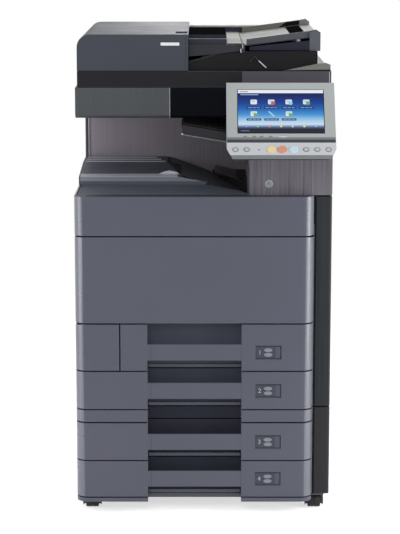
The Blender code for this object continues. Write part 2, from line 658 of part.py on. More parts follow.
def make_column():
    """The upright on the right that carries the scanner; its inner wall stands on the frame."""
    inner = COLUMN_LEFT + WALL
    front = at(COLUMN_SETBACK)
    back = at(WALL_SETBACK) - TOUCH
    far = at(SIDE_BACK)
    z0 = Z_SHELF + TOUCH
    z1 = Z_SCANNER - TOUCH
    outline = [(COLUMN_LEFT, back), (COLUMN_LEFT, front), (RIGHT, front), (RIGHT, far), (RIGHT - WALL, far),
               (RIGHT - WALL, back)]
    inside = block(inner, RIGHT - WALL, front + WALL, back + WALL, z0 - WALL, z1 - WALL)
    slot = block(COLUMN_LEFT - WALL, inner + WALL, at(SLOT_FRONT), back + TOUCH - SLOT_END, z0 + SLOT_RISE,
                 z0 + SLOT_RISE + SLOT_HEIGHT)
    hole = rod((POWER_KEY_X, front, Z_SHELF + POWER_KEY_RISE), (0, 1, 0), POWER_KEY_RADIUS + KEY_CLEARANCE,
               4 * WALL, 20)
    foot = block(COLUMN_LEFT, inner, at(FRONT_DEPTH + WALL), back, Z_FRAME_TOP + TOUCH, z0 + WALL)
    piece("right_column", UMBER, prism(outline, "Z", z0, z1), cuts=(inside, slot, hole), joins=(foot,))


def make_separator_tray():
    """The short second exit tray that hangs beside the column, under the scanner."""
    tip = RAMP_START - 0.0014
    root = COLUMN_LEFT - TOUCH
    fall = SEPARATOR_FALL
    thick = SEPARATOR_THICKNESS
    low = Z_SCANNER - SEPARATOR_DROP - thick
    y0 = at(SEPARATOR_FRONT)
    y1 = at(WALL_SETBACK - SEPARATOR_END)
    body = prism([(tip, low), (root, low - fall), (root, low - fall + thick), (tip, low + thick)], "Y", y0, y1)
    inset = 2 * WALL
    slope = fall / (root - tip)
    hollow = prism([(tip + inset, low - inset - thick), (root - inset, low - inset - thick),
                    (root - inset, low - fall + slope * inset + thick - WALL), (tip + inset, low - slope * inset + thick - WALL)],
                   "Y", y0 + WALL, y1 - WALL)
    piece("separator_tray", BLACK, body, cuts=(hollow,))


# ---------------------------------------------------------------- side and rear covers
def make_left_cover():
    """One moulding: low beside the exit tray, high beside the rear housing."""
    front = at(FRONT_DEPTH + SEAM)
    rear = at(DEPTH - REAR_WALL_GAP)
    z0 = Z_SKIRT
    side = [(front, z0), (rear, z0), (rear, Z_SCANNER - TOUCH), (at(WALL_SETBACK), Z_SCANNER - TOUCH),
            (at(WALL_SETBACK), Z_LEVEL), (at(PLATFORM_LEVEL), Z_LEVEL), (at(SHELF_DEPTH), Z_PLATFORM),
            (at(SHELF_DEPTH), Z_SHELF), (front, Z_SHELF)]
    piece("left_cover", SLATE, prism(side, "X", LEFT, LEFT + WALL))


def make_rear_cover():
    """The back panel, folded round the right-hand rear corner, with its air vents."""
    right_edge = at(SIDE_BACK) + SEAM
    left_edge = at(DEPTH - REAR_WALL_GAP) + SEAM
    outer = at(DEPTH)
    inner = outer - WALL
    outline = [(LEFT, left_edge), (LEFT, outer), (RIGHT, outer), (RIGHT, right_edge), (RIGHT - WALL, right_edge),
               (RIGHT - WALL, inner), (LEFT + WALL, inner), (LEFT + WALL, left_edge)]
    vents = []
    for row in range(8):
        for x in (LEFT + 0.08, RIGHT - 0.22):
            z = Z_FRONT_COVER + 0.05 + row * 0.014
            vents.append(block(x, x + 0.14, inner - WALL, outer + WALL, z, z + 0.005))
    piece("rear_cover", CHARCOAL, prism(outline, "Z", BASE_BOTTOM, Z_SCANNER - TOUCH), cuts=(group(vents),))


def side_cover_box(z0, z1):
    """Corners of a right-hand cover between two heights."""
    front = at(COLUMN_SETBACK)
    back = at(SIDE_BACK) - TOUCH
    return RIGHT - RIGHT_COVER_THICKNESS, RIGHT, front, back, z0, z1


def make_side_cover(name, z0, z1, pocket=None):
    """A hollow right-hand cover, open towards the frame, hinged at its rear outer edge."""
    x0, x1, y0, y1, _, _ = side_cover_box(z0, z1)
    body = prism(rounded([(x0, y1), (x0, y0), (x1, y0, 2 * WALL), (x1, y1)], 3), "Z", z0, z1)
    hollow = block(x0 - WALL, x1 - WALL, y0 + WALL, y1 - WALL, z0 + WALL, z1 - WALL)
    cuts = [hollow]
    if pocket:
        px, py0, py1, pz0, pz1 = pocket
        keep = block(px - WALL, x1 + WALL, py0 - WALL, py1 + WALL, pz0 - WALL, pz1 + WALL)
        hollow = helper(f"{name}.hollow", hollow)
        change(hollow, "DIFFERENCE", keep)
        cuts = [hollow, block(px, x1 + WALL, py0, py1, pz0, pz1)]
    piece(name, CHARCOAL, body, cuts=cuts, origin=(x1, y1, (z0 + z1) / 2))


def make_right_covers():
    """Lower cover, upper cover, and the bypass tray folded into the upper one."""
    seam = Z_ENGINE_BASE
    make_side_cover("right_lower_cover", Z_SKIRT, seam - SEAM / 2)
    z0 = seam + BYPASS_RISE
    z1 = z0 + BYPASS_HEIGHT
    x0 = RIGHT - BYPASS_DEPTH
    bypass_back = SIDE_BACK - BYPASS_END
    pocket = (x0, at(BYPASS_FRONT), at(bypass_back), z0, z1)
    make_side_cover("right_upper_cover", seam + SEAM / 2, Z_SHELF - SEAM, pocket)
    tray = block(x0 + BYPASS_GAP, RIGHT - BYPASS_GAP, at(BYPASS_FRONT) + BYPASS_GAP, at(bypass_back) - BYPASS_GAP,
                 z0 + BYPASS_GAP, z1 - 4 * BYPASS_GAP)
    piece("bypass_tray", CHARCOAL, tray,
          origin=(RIGHT - BYPASS_GAP, at((BYPASS_FRONT + bypass_back) / 2), z0 + BYPASS_GAP))


# ---------------------------------------------------------------- scanner
def make_scanner():
    """The flatbed housing with its rails, the platen glass and the lamp carriage."""
    front = at(SCANNER_SETBACK)
    back = at(DEPTH)
    section = rounded([(back, Z_SCANNER), (back, Z_PLATEN), (front, Z_PLATEN), (front, Z_SCANNER, SCANNER_EDGE)])
    inside = block(LEFT + WALL, RIGHT - WALL, front + WALL, back - WALL, Z_SCANNER + WALL, Z_PLATEN - WALL)
    window = block(GLASS_LEFT, GLASS_RIGHT, at(GLASS_FRONT), at(GLASS_BACK), Z_PLATEN - 3 * WALL, Z_PLATEN + WALL)
    rail_top = Z_SCANNER + WALL + RAIL_HEIGHT
    rails = group([
        block(LEFT + 2 * WALL, RIGHT - 2 * WALL, at(s), at(s) + RAIL_WIDTH, Z_SCANNER + WALL / 2, rail_top)
        for s in (GLASS_FRONT - 2 * RAIL_WIDTH, GLASS_BACK + RAIL_WIDTH)
    ])
    piece("scanner_housing", CHARCOAL, prism(section, "X", LEFT, RIGHT), cuts=(inside, window), joins=(rails,))
    gap = GLASS_EDGE_GAP
    piece("platen_glass", GLASS, block(GLASS_LEFT + gap, GLASS_RIGHT - gap, at(GLASS_FRONT) + gap,
                                       at(GLASS_BACK) - gap, Z_PLATEN - WALL, Z_PLATEN))
    z0 = rail_top + TOUCH
    reach = 1.5 * RAIL_WIDTH
    piece("scan_carriage", BLACK, block(GLASS_LEFT, GLASS_LEFT + CARRIAGE_WIDTH, at(GLASS_FRONT) - reach,
                                        at(GLASS_BACK) + reach, z0, z0 + CARRIAGE_HEIGHT))


# ---------------------------------------------------------------- document feeder
def feeder_span():
    """World Y of the feeder's front and back faces."""
    return at(SCANNER_SETBACK), at(DEPTH - FEEDER_END)


def make_feeder_base():
    """The lid over the platen with its white backing, hinged along its rear lower edge."""
    y0, y1 = feeder_span()
    x0 = LEFT + FEEDER_LEFT_INSET
    x1 = RIGHT - FEEDER_RIGHT_INSET
    z0 = Z_PLATEN + 2 * TOUCH
    hollow = block(x0 + WALL, x1 - WALL, y0 + WALL, y1 - WALL, z0 - WALL, Z_FEEDER - WALL)
    hinge = (0, y1, z0)
    piece("feeder_base", CHARCOAL, block(x0, x1, y0, y1, z0, Z_FEEDER), cuts=(hollow,), origin=hinge)
    edge = WALL + 2 * TOUCH
    piece("platen_backing", WHITE, block(x0 + edge, x1 - edge, y0 + edge, y1 - edge, z0, z0 + 2 * WALL), origin=hinge)
    return x0, y0, y1, hinge


def feeder_section(x0, z0, inset):
    """Section of the feeder's box: square at the right, rounded at the upper left."""
    return [(x0 + inset, z0), (FEEDER_RIGHT, z0), (FEEDER_RIGHT, Z_TOP - inset),
            (x0 + inset, Z_TOP - inset, FEEDER_RADIUS - inset)]


def make_feeder_box(x0, y0, y1, hinge):
    """End frames, floor, feed deck and rear rail in one, with the lifting cover and the roller."""
    z0 = Z_FEEDER + TOUCH
    floor = z0 + FEEDER_FLOOR
    body = prism(rounded(feeder_section(x0, z0, 0), 7), "Y", y0, y1)
    inside = block(x0 - WALL, FEEDER_RIGHT + WALL, y0 + WALL, y1 - WALL, floor, Z_TOP + WALL)
    rail_front = y1 - REAR_RAIL_DEPTH
    deck = prism([(FEEDER_RIGHT - DECK_INSIDE, y0 + WALL / 2), (FEEDER_RIGHT - WALL, y0 + WALL / 2),
                  (FEEDER_RIGHT - WALL, y0 + DECK_SETBACK), (FEEDER_RIGHT + DECK_LENGTH, y0 + DECK_SETBACK),
                  (FEEDER_RIGHT + DECK_LENGTH, rail_front + WALL), (FEEDER_RIGHT - WALL, rail_front + WALL),
                  (FEEDER_RIGHT - WALL, y1 - WALL / 2), (FEEDER_RIGHT - DECK_INSIDE, y1 - WALL / 2)],
                 "Z", DECK_TOP - DECK_THICKNESS, DECK_TOP)
    rail = block(FEEDER_RIGHT + TOUCH, RIGHT - REAR_RAIL_INSET, rail_front, y1, z0, Z_TOP - REAR_RAIL_DROP)
    piece("feeder_frame", SLATE, body, cuts=(inside,), joins=(deck, rail), origin=hinge)
    shell = prism(rounded(feeder_section(x0, floor + TOUCH, 0), 7), "Y", y0 + WALL + TOUCH, y1 - WALL - TOUCH)
    under = prism(rounded([(x0 + WALL, floor - WALL), (FEEDER_RIGHT - WALL, floor - WALL),
                           (FEEDER_RIGHT - WALL, Z_TOP - WALL), (x0 + WALL, Z_TOP - WALL, FEEDER_RADIUS - WALL)], 7),
                  "Y", y0 - WALL, y1 + WALL)
    mouth = block(FEEDER_RIGHT - 2 * WALL, FEEDER_RIGHT + WALL, y0 - WALL, y1 + WALL, floor - WALL, Z_TOP - FEEDER_LIP)
    pickup = block(FEEDER_RIGHT - WALL, FEEDER_RIGHT + PICKUP_LENGTH, y0 + PICKUP_FRONT, y0 + PICKUP_FRONT + PICKUP_WIDTH,
                   Z_TOP - FEEDER_LIP, Z_TOP - PICKUP_DROP)
    piece("feeder_cover", SLATE, shell, cuts=(under, mouth), joins=(pickup,), origin=(x0, (y0 + y1) / 2, floor + TOUCH))
    axis = Vector((FEEDER_RIGHT - ROLLER_INSIDE, (y0 + y1) / 2, DECK_TOP + ROLLER_GAP + ROLLER_RADIUS))
    shaft = rod(axis, (0, 1, 0), SHAFT_RADIUS, y1 - y0 - 2 * WALL - 2 * TOUCH, 12)
    roller = rod(axis, (0, 1, 0), ROLLER_RADIUS, ROLLER_LENGTH, 20)
    piece("feeder_roller", RUBBER, roller, joins=(shaft,), origin=axis)


def make_output_tray(y0, y1, hinge):
    """The tray that catches scanned sheets, a bent shell under the feed deck."""
    start = FEEDER_RIGHT + TOUCH
    z0 = Z_FEEDER + TOUCH
    top = OUTPUT_TRAY_TOP
    end = RIGHT - OUTPUT_TRAY_INSET
    bend = start + OUTPUT_TRAY_BEND
    crest = start + OUTPUT_TRAY_CREST
    shoulder = top - 0.010
    over = [(start, z0 + 2 * WALL), (bend, shoulder), (crest, top), (end, top), (end, z0)]
    under = [(end - WALL, z0), (end - WALL, top - WALL), (crest, top - WALL),
             (bend + 0.002, shoulder - WALL), (start + 0.005, z0 + WALL), (start, z0 + WALL)]
    piece("feeder_output_tray", BLACK, prism(over + under, "Y", y0 + OUTPUT_SETBACK, y1 - REAR_RAIL_DEPTH - TOUCH),
          origin=hinge)


def make_input_tray(y0, y1):
    """The lifting tray: a sloping plate between two rims, a block at its end, and its hinge pin."""
    pivot = Vector((FEEDER_RIGHT + DECK_LENGTH + TOUCH + PIN_RADIUS, (y0 + y1) / 2, DECK_TOP - PIN_RADIUS))
    front = y0 + INPUT_TRAY_SETBACK
    back = y1 - REAR_RAIL_DEPTH - TOUCH
    end = RIGHT - INPUT_TRAY_INSET
    block_left = end - INPUT_TRAY_BLOCK
    rise = (block_left - pivot.x) * INPUT_TRAY_SLOPE
    high = pivot.z + rise
    peak = high + INPUT_TRAY_RIM
    foot = OUTPUT_TRAY_TOP + TOUCH
    section = [(pivot.x, pivot.z + WALL / 2), (block_left, high + WALL / 2), (end, high + WALL),
               (end, foot), (block_left, foot), (block_left, high - WALL / 2), (pivot.x, pivot.z - WALL / 2)]
    rim = [(pivot.x + 2 * PIN_RADIUS, pivot.z + 0.002), (pivot.x + 2 * PIN_RADIUS, pivot.z + INPUT_TRAY_RIM),
           (block_left, peak), (end - 0.010, peak + WALL), (end, peak - 0.004), (end, foot + WALL),
           (block_left + WALL, foot + WALL), (block_left + WALL, high), (block_left, high)]
    rims = group([prism(rim, "Y", front - WALL, front + WALL), prism(rim, "Y", back - 2 * WALL, back)])
    pin = rod((pivot.x, (front + back) / 2, pivot.z), (0, 1, 0), PIN_RADIUS, back - front, 12)
    piece("feeder_input_tray", CHARCOAL, prism(section, "Y", front, back), joins=(rims, pin), origin=pivot)


# ---------------------------------------------------------------- control panel
def make_panel():
    """The display housing with its ribs, the screen, and the bracket that it tilts on."""
    top = Vector((0, at(PANEL_TOP_SETBACK), Z_PLATEN + PANEL_TOP_ABOVE_SCANNER))
    back = Vector((0, -down_display.z, down_display.y))
    crease = top + down_display * DISPLAY_LENGTH
    foot = crease + down_strip * STRIP_LENGTH
    heel = foot + Vector((0, 0.0035, -0.0095))
    sole = foot + Vector((0, 0.0110, -0.0130))
    rear = crease + back * PANEL_THICKNESS + Vector((0, 0, -0.012))
    section = [top, crease, foot, heel, sole, rear, crease + back * PANEL_THICKNESS, top + back * PANEL_THICKNESS]
    body = prism([(p.y, p.z) for p in section], "X", PANEL_LEFT, PANEL_RIGHT)
    span = [(PANEL_LEFT + WALL, HINGE_LEFT - TOUCH - RIB), (HINGE_LEFT - TOUCH, HINGE_RIGHT + TOUCH),
            (HINGE_RIGHT + TOUCH + RIB, PANEL_RIGHT - WALL)]
    hollows = group([
        tilted_block(top, down_display, a, b, WALL, DISPLAY_LENGTH - 2 * WALL, -2 * PANEL_THICKNESS, -0.008)
        for a, b in span
    ])
    recess = tilted_block(top, down_display, PANEL_LEFT + SCREEN_INSET, PANEL_RIGHT - SCREEN_INSET, SCREEN_TOP,
                          SCREEN_TOP + SCREEN_LENGTH, -SCREEN_DEPTH, SCREEN_DEPTH)
    out = Vector((0, down_strip.z, -down_strip.y))
    holes = group([
        rod(key_centre(crease, x) - out * (KEY_HOLE_DEPTH / 2 - WALL), out, radius + KEY_CLEARANCE,
            KEY_HOLE_DEPTH + 2 * WALL, 20)
        for x, radius in KEYS.values()
    ])
    chamfer = 0.014
    corners = group([
        prism([(PANEL_LEFT - WALL, foot.z + chamfer + WALL), (PANEL_LEFT + chamfer + WALL, sole.z - WALL),
               (PANEL_LEFT - WALL, sole.z - WALL)], "Y", foot.y - WALL, rear.y),
        prism([(PANEL_RIGHT + WALL, foot.z + chamfer + WALL), (PANEL_RIGHT - chamfer - WALL, sole.z - WALL),
               (PANEL_RIGHT + WALL, sole.z - WALL)], "Y", foot.y - WALL, rear.y),
    ])
    pivot = top + down_display * HINGE_DOWN + back * HINGE_BACK
    pivot.x = (HINGE_LEFT + HINGE_RIGHT) / 2
    piece("panel_housing", SILVER, body, cuts=(hollows, recess, holes, corners), origin=pivot)
    glass = tilted_block(top, down_display, PANEL_LEFT + SCREEN_INSET + TOUCH, PANEL_RIGHT - SCREEN_INSET - TOUCH,
                         SCREEN_TOP + TOUCH, SCREEN_TOP + SCREEN_LENGTH - TOUCH, -SCREEN_DEPTH + TOUCH, 0)
    piece("panel_screen", SCREEN, glass, origin=pivot)
    make_keys(crease, out)
    arm = block(HINGE_LEFT + 0.004, HINGE_RIGHT - 0.004, pivot.y, at(COLUMN_SETBACK) - TOUCH, pivot.z - 0.004,
                pivot.z + 0.004)
    barrel = rod(pivot, (1, 0, 0), HINGE_RADIUS, HINGE_RIGHT - HINGE_LEFT, 16)
    piece("panel_bracket", STEEL, arm, joins=(barrel,))


def key_centre(crease, x):
    """Centre of a key on the strip's surface."""
    return crease + down_strip * KEY_DOWN + Vector((PANEL_LEFT + x, 0, 0))


def make_keys(crease, out):
    """One round cap for each key, standing proud of the strip."""
    colours = {"key_reset": AMBER, "key_stop": CORAL, "key_start": AQUA}
    for name, (x, radius) in KEYS.items():
        centre = key_centre(crease, x) + out * (KEY_PROUD - KEY_LENGTH / 2)
        cap = rod(centre, out, radius, KEY_LENGTH, 20)
        piece(name, colours.get(name, WHITE), cap, origin=centre)


def make_power_key():
    length = 0.007
    centre = (POWER_KEY_X, at(COLUMN_SETBACK) - 0.0015 + length / 2, Z_SHELF + POWER_KEY_RISE)
    cap = rod(centre, (0, 1, 0), POWER_KEY_RADIUS, length, 20)
    piece("power_key", SILVER, cap, origin=centre)


# ---------------------------------------------------------------- inside the engine
def make_engine():
    """Laser unit, transfer belt, toner bottles and fuser, each on its seat."""
    def across(insets):
        return FRAME_LEFT + insets[0], FRAME_RIGHT - insets[1]

    def along(span, end=FRAME_DEPTH):
        return at(span[0]), at(end - span[1])

    floor = Z_FRONT_COVER + 2 * SHEET + TOUCH
    piece("laser_unit", BLACK, block(*across(LASER_INSETS), *along(LASER_SPAN), floor, floor + LASER_HEIGHT))
    low = floor + LASER_HEIGHT + TOUCH
    high = low + BELT_HEIGHT
    left, right = across(BELT_INSETS)
    belt = rounded([(left, low, BELT_RADIUS), (right, low, BELT_RADIUS), (right, high, BELT_RADIUS),
                    (left, high, BELT_RADIUS)])
    piece("transfer_belt_unit", BLACK, prism(belt, "Y", *along(BELT_SPAN)))
    shelf = Z_FRONT_COVER + TONER_SHELF + TOUCH
    height = Z_FRAME_TOP - SHEET - BOTTLE_HEADROOM - shelf
    left, right = across(BOTTLE_INSETS)
    width = (right - left - 3 * BOTTLE_GAP) / 4
    shoulder = min(BOTTLE_RADIUS, height - BOTTLE_FOOT_RADIUS - SHEET)
    for i, (colour, material) in enumerate(TONERS.items()):
        x = left + i * (width + BOTTLE_GAP)
        bottle = rounded([(x, shelf, BOTTLE_FOOT_RADIUS), (x + width, shelf, BOTTLE_FOOT_RADIUS),
                          (x + width, shelf + height, shoulder), (x, shelf + height, shoulder)], 4)
        piece(f"toner_bottle_{colour}", material, prism(bottle, "Y", *along(BOTTLE_SPAN)))
    low = Z_FRAME_TOP + TOUCH
    high = low + FUSER_HEIGHT
    left = COLUMN_LEFT + FUSER_INSETS[0]
    right = RIGHT - FUSER_INSETS[1]
    fuser = rounded([(left, low), (right, low), (right, high, FUSER_RADIUS), (left, high, FUSER_RADIUS)], 3)
    piece("fuser_unit", STEEL, prism(fuser, "Y", *along(FUSER_SPAN, WALL_SETBACK)))


# ---------------------------------------------------------------- build
make_base()
make_wheels()
make_frame()
for n in CASSETTE_HEIGHTS:
    make_cassette_front(n)
    make_cassette_tray(n)
make_band()
door_seam = CASSETTE_SEAMS[1]
make_plain_front("waste_toner_door", SLATE, LEFT, LEFT + WASTE_DOOR_WIDTH - SEAM / 2, door_seam, Z_FRONT_COVER,
                 (LEFT, at(0), door_seam + SEAM / 2), round_right=False)
make_plain_front("front_cover", SLATE, LEFT, FRONTS_RIGHT, Z_FRONT_COVER, Z_TOP_COVER,
                 (0, at(0), Z_FRONT_COVER + SEAM / 2))
make_top_cover()
make_exit_tray()
make_back_wall()
make_column()
make_separator_tray()
make_left_cover()
make_rear_cover()
make_right_covers()
make_scanner()
feeder_x0, feeder_y0, feeder_y1, feeder_hinge = make_feeder_base()
make_feeder_box(feeder_x0, feeder_y0, feeder_y1, feeder_hinge)
make_output_tray(feeder_y0, feeder_y1, feeder_hinge)
make_input_tray(feeder_y0, feeder_y1)
make_panel()
make_power_key()
make_engine()
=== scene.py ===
import json
import math

import bmesh
import bpy
import numpy as np
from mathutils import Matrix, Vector


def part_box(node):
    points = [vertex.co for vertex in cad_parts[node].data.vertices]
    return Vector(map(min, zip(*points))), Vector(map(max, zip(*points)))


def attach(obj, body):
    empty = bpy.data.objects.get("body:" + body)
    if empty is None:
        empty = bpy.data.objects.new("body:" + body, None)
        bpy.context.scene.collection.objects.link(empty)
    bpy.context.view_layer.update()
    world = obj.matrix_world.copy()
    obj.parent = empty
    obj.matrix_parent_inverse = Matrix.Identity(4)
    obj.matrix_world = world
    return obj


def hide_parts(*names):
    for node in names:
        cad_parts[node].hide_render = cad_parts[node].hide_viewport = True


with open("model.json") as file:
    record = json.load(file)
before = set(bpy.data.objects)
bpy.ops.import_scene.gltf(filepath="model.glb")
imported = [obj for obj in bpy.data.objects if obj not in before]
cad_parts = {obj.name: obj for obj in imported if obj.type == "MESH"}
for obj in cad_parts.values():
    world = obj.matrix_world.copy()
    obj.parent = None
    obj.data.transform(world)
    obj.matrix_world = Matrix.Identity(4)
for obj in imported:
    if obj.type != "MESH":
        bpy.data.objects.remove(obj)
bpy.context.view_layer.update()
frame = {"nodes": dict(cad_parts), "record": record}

# ---------------------------------------------------------------- studio
# A white floor that fades into a white surround, a broad lamp over the front and a tall strip on
# either side. The surround only shows as white to the eye, to gloss and through glass.


def put_in(name, data):
    """An object in the scene that holds a mesh, a lamp or a camera."""
    made = bpy.data.objects.new(name, data)
    bpy.context.scene.collection.objects.link(made)
    return made


camera = put_in("camera", bpy.data.cameras.new("camera"))
camera.location = (-0.0076, -4.7109, 1.4048)
camera.rotation_euler = (math.radians(90 - 10.319), 0, 0)
camera.data.lens = 130.18
camera.data.clip_end = 200
bpy.context.scene.camera = camera
bpy.context.scene.view_settings.view_transform = "Standard"


def softbox(name, place, aim, width, height, watts):
    """A rectangular lamp at a place, facing an aim point."""
    lamp = bpy.data.lights.new(name, "AREA")
    lamp.shape = "RECTANGLE"
    lamp.size, lamp.size_y, lamp.energy = width, height, watts
    holder = put_in(name, lamp)
    holder.location = place
    holder.rotation_euler = (Vector(aim) - Vector(place)).to_track_quat("-Z", "Y").to_euler()


softbox("front_lamp", (-0.6, -3.4, 2.6), (0, 0, 0.6), 2.4, 1.8, 31)
softbox("left_strip", (-2.0, -0.85, 0.9), (-0.3, -0.25, 0.6), 0.9, 2.2, 27)
softbox("right_strip", (2.0, -0.85, 0.9), (0.3, -0.25, 0.6), 0.9, 2.2, 42)
softbox("rear_lamp", (0.8, 3.4, 2.4), (0, 0, 0.6), 2.4, 1.8, 42)


def wire(tree, kind, inputs, outlet=0, **settings):
    """Adds a shader node, sets or links its inputs, and gives one of its outlets."""
    node = tree.nodes.new("ShaderNode" + kind)
    for key, value in settings.items():
        setattr(node, key, value)
    for key, value in inputs.items():
        if isinstance(value, bpy.types.NodeSocket):
            tree.links.new(value, node.inputs[key])
        else:
            node.inputs[key].default_value = value
    return node.outputs[outlet]


def seen_directly(tree):
    """1 for the rays of the eye, of gloss and of glass, and 0 for the rest."""
    rays = wire(tree, "LightPath", {}).node.outputs
    either = wire(tree, "Math", {0: rays["Is Camera Ray"], 1: rays["Is Glossy Ray"]},
        operation="MAXIMUM")
    return wire(tree, "Math", {0: either, 1: rays["Is Transmission Ray"]}, operation="MAXIMUM")


world = bpy.data.worlds.new("surround")
world.use_nodes = True
bpy.context.scene.world = world
sky = world.node_tree.nodes["Background"].inputs
sky["Color"].default_value = (1, 1, 1, 1)
level = wire(world.node_tree, "MapRange",
    {"Value": seen_directly(world.node_tree), "To Min": 0.31, "To Max": 1.0})
world.node_tree.links.new(level, sky["Strength"])


def settle(mesh, gap=1e-7):
    """Merges a mesh's doubles and turns its faces outwards."""
    shape = bmesh.new()
    shape.from_mesh(mesh)
    bmesh.ops.remove_doubles(shape, verts=shape.verts, dist=gap)
    bmesh.ops.recalc_face_normals(shape, faces=shape.faces)
    shape.to_mesh(mesh)
    shape.free()


def grid_faces(rows, columns, ends, first=0):
    """Faces between the rows of a grid, each row closed on itself, and one face over each end if
    ends says so. The points' numbers start at first."""
    index = first + np.arange(rows * columns).reshape(rows, columns)
    beside = np.roll(index, -1, axis=1)
    faces = np.stack([index[:-1], beside[:-1], beside[1:], index[1:]], axis=-1)
    faces = faces.reshape(-1, 4).tolist()
    return faces + [index[0][::-1].tolist(), index[-1].tolist()] if ends else faces


def skin(name, grid, ends=False):
    """A surface through a grid of points, rows by columns, each row closed on itself. Ends closes
    the first and the last row with one face each."""
    grid = np.asarray(grid, float)
    mesh = bpy.data.meshes.new(name)
    mesh.from_pydata(grid.reshape(-1, 3).tolist(), [], grid_faces(*grid.shape[:2], ends))
    settle(mesh)
    mesh.shade_smooth()
    mesh.set_sharp_from_angle(angle=math.radians(32))
    return put_in(name, mesh)


def blank(name):
    """A new material, its node tree and its plain shader's inputs."""
    made = bpy.data.materials.new(name)
    made.use_nodes = True
    return made, made.node_tree, made.node_tree.nodes["Principled BSDF"].inputs


turn = np.linspace(0, 2 * np.pi, 96, endpoint=False)
circle = np.stack([np.cos(turn), np.sin(turn), 0 * turn], axis=-1)
floor = skin("floor", [circle * radius for radius in (3.2, 0.001)])
floor_white, tree, shader = blank("floor_white")
tree.nodes.remove(tree.nodes["Principled BSDF"])
chalk = wire(tree, "BsdfDiffuse", {"Color": (0.9, 0.9, 0.9, 1)})
lift = wire(tree, "Math", {0: seen_directly(tree), 1: 0.62}, operation="MULTIPLY")
both = wire(tree, "AddShader", {0: chalk, 1: wire(tree, "Emission", {"Strength": lift})})
reach = wire(tree, "VectorMath", {0: wire(tree, "TexCoord", {}, "Object")}, "Value",
    operation="LENGTH")
fade = wire(tree, "MapRange", {"Value": reach, "From Min": 0.8, "From Max": 2.6},
    interpolation_type="SMOOTHSTEP")
blend = wire(tree, "MixShader", {"Fac": fade, 1: both, 2: wire(tree, "BsdfTransparent", {})})
tree.links.new(blend, tree.nodes["Material Output"].inputs["Surface"])
floor.data.materials.append(floor_white)

# ---------------------------------------------------------------- base, skirt and castors
# A pressed steel base plate with four fixed castors, and the moulded skirt that closes the gap
# under the lowest cassette. The plate is painted dark, and the skirt is the cassettes' plastic.


def shade(red, green, blue):
    """A colour as it looks, 0 to 255, as linear light."""
    levels = np.array([red, green, blue]) / 255
    return tuple(np.where(levels <= 0.04045, levels / 12.92,
            ((levels + 0.055) / 1.055) ** 2.4)) + (1,)


def effect(name, inlets):
    """A node group with named inlets that puts out a colour, a roughness and a height."""
    group = bpy.data.node_groups.new(name, "ShaderNodeTree")
    for way, sockets in (("INPUT", inlets), ("OUTPUT", ("Colour", "Roughness", "Height"))):
        for socket in sockets:
            kind = "NodeSocketColor" if socket == "Colour" else "NodeSocketFloat"
            group.interface.new_socket(socket, in_out=way, socket_type=kind)
    given, result = group.nodes.new("NodeGroupInput"), group.nodes.new("NodeGroupOutput")
    return group, given.outputs, result.inputs


def moulded_surface():
    """The moulded plastics' shared effect: a fine spark-eroded grain, a slow drift of tone, and
    small handling marks in the roughness."""
    group, given, result = effect("moulded_surface",
        ("Colour", "Drift", "Grain", "Roughness", "Marks"))
    place = wire(group, "TexCoord", {}, "Object")

    def noise(scale, detail, stretch=(1, 1, 1)):
        stretched = wire(group, "Mapping", {"Vector": place, "Scale": stretch})
        return wire(group, "TexNoise", {"Vector": stretched, "Scale": scale, "Detail": detail},
            "Fac")

    def spread(value, amount, centre=1.0):
        """Maps a pattern's middle range to centre minus or plus an amount."""
        below, above = (wire(group, "Math", {0: centre, 1: amount}, operation=way)
            for way in ("SUBTRACT", "ADD"))
        return wire(group, "MapRange",
            {"Value": value, "From Min": 0.3, "From Max": 0.7, "To Min": below, "To Max": above})

    tone, speck = (spread(noise(*pattern), given["Drift"])
        for pattern in ((3.2, 2.0), (given["Grain"], 1.0)))
    mixed = wire(group, "Math", {0: tone, 1: speck}, operation="MULTIPLY")
    tinted = wire(group, "VectorMath", {0: given["Colour"], "Scale": mixed}, operation="SCALE")
    group.links.new(tinted, result["Colour"])
    group.links.new(spread(noise(9.0, 6.0, (1, 1, 2.5)), given["Marks"], given["Roughness"]),
        result["Roughness"])
    group.links.new(noise(given["Grain"], 3.0), result["Height"])
    return group


def surfaced(name, group, gloss, relief, **values):
    """A plain shader under a shared surface with its own values."""
    made, tree, shader = blank(name)
    surface = wire(tree, "Group", values, node_tree=group).node.outputs
    bump = wire(tree, "Bump", {"Height": surface["Height"], "Distance": relief})
    for socket, source in (("Base Color", surface["Colour"]), ("Roughness", surface["Roughness"]),
            ("Normal", bump)):
        tree.links.new(source, shader[socket])
    shader["Specular IOR Level"].default_value = gloss
    return made


grained = moulded_surface()


def moulded(name, colour, roughness=0.45, gloss=0.35, drift=0.03, grain=1400.0, marks=0.05,
        relief=0.00003):
    """A moulded plastic of one colour."""
    return surfaced(name, grained, gloss, relief, Colour=shade(*colour), Drift=drift, Grain=grain,
        Roughness=roughness, Marks=marks)


def fit(piece, finish, body, slot, *stands_for):
    """Gives a piece its material and its body, and hides the frame pieces it stands for. The slot
    is not used.
    """
    if finish:
        piece.data.materials.clear()
        piece.data.materials.append(finish)
    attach(piece, body)
    if stands_for:
        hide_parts(*stands_for)
    return piece


def ease(piece, width, steps=2, angle=30):
    """Rounds a piece's edges and keeps its flats flat."""
    bevel = piece.modifiers.new("eased_edges", "BEVEL")
    bevel.width = width
    bevel.segments = steps
    bevel.limit_method = "ANGLE"
    bevel.angle_limit = math.radians(angle)
    bevel.harden_normals = True
    bevel.use_clamp_overlap = True
    return piece


home = {node: body for body, members in frame["record"]["behaviour"]["bodies"].items()
    for node in members}
slots = {part["node"]: part["material_slot"] for part in frame["record"]["subparts"]}


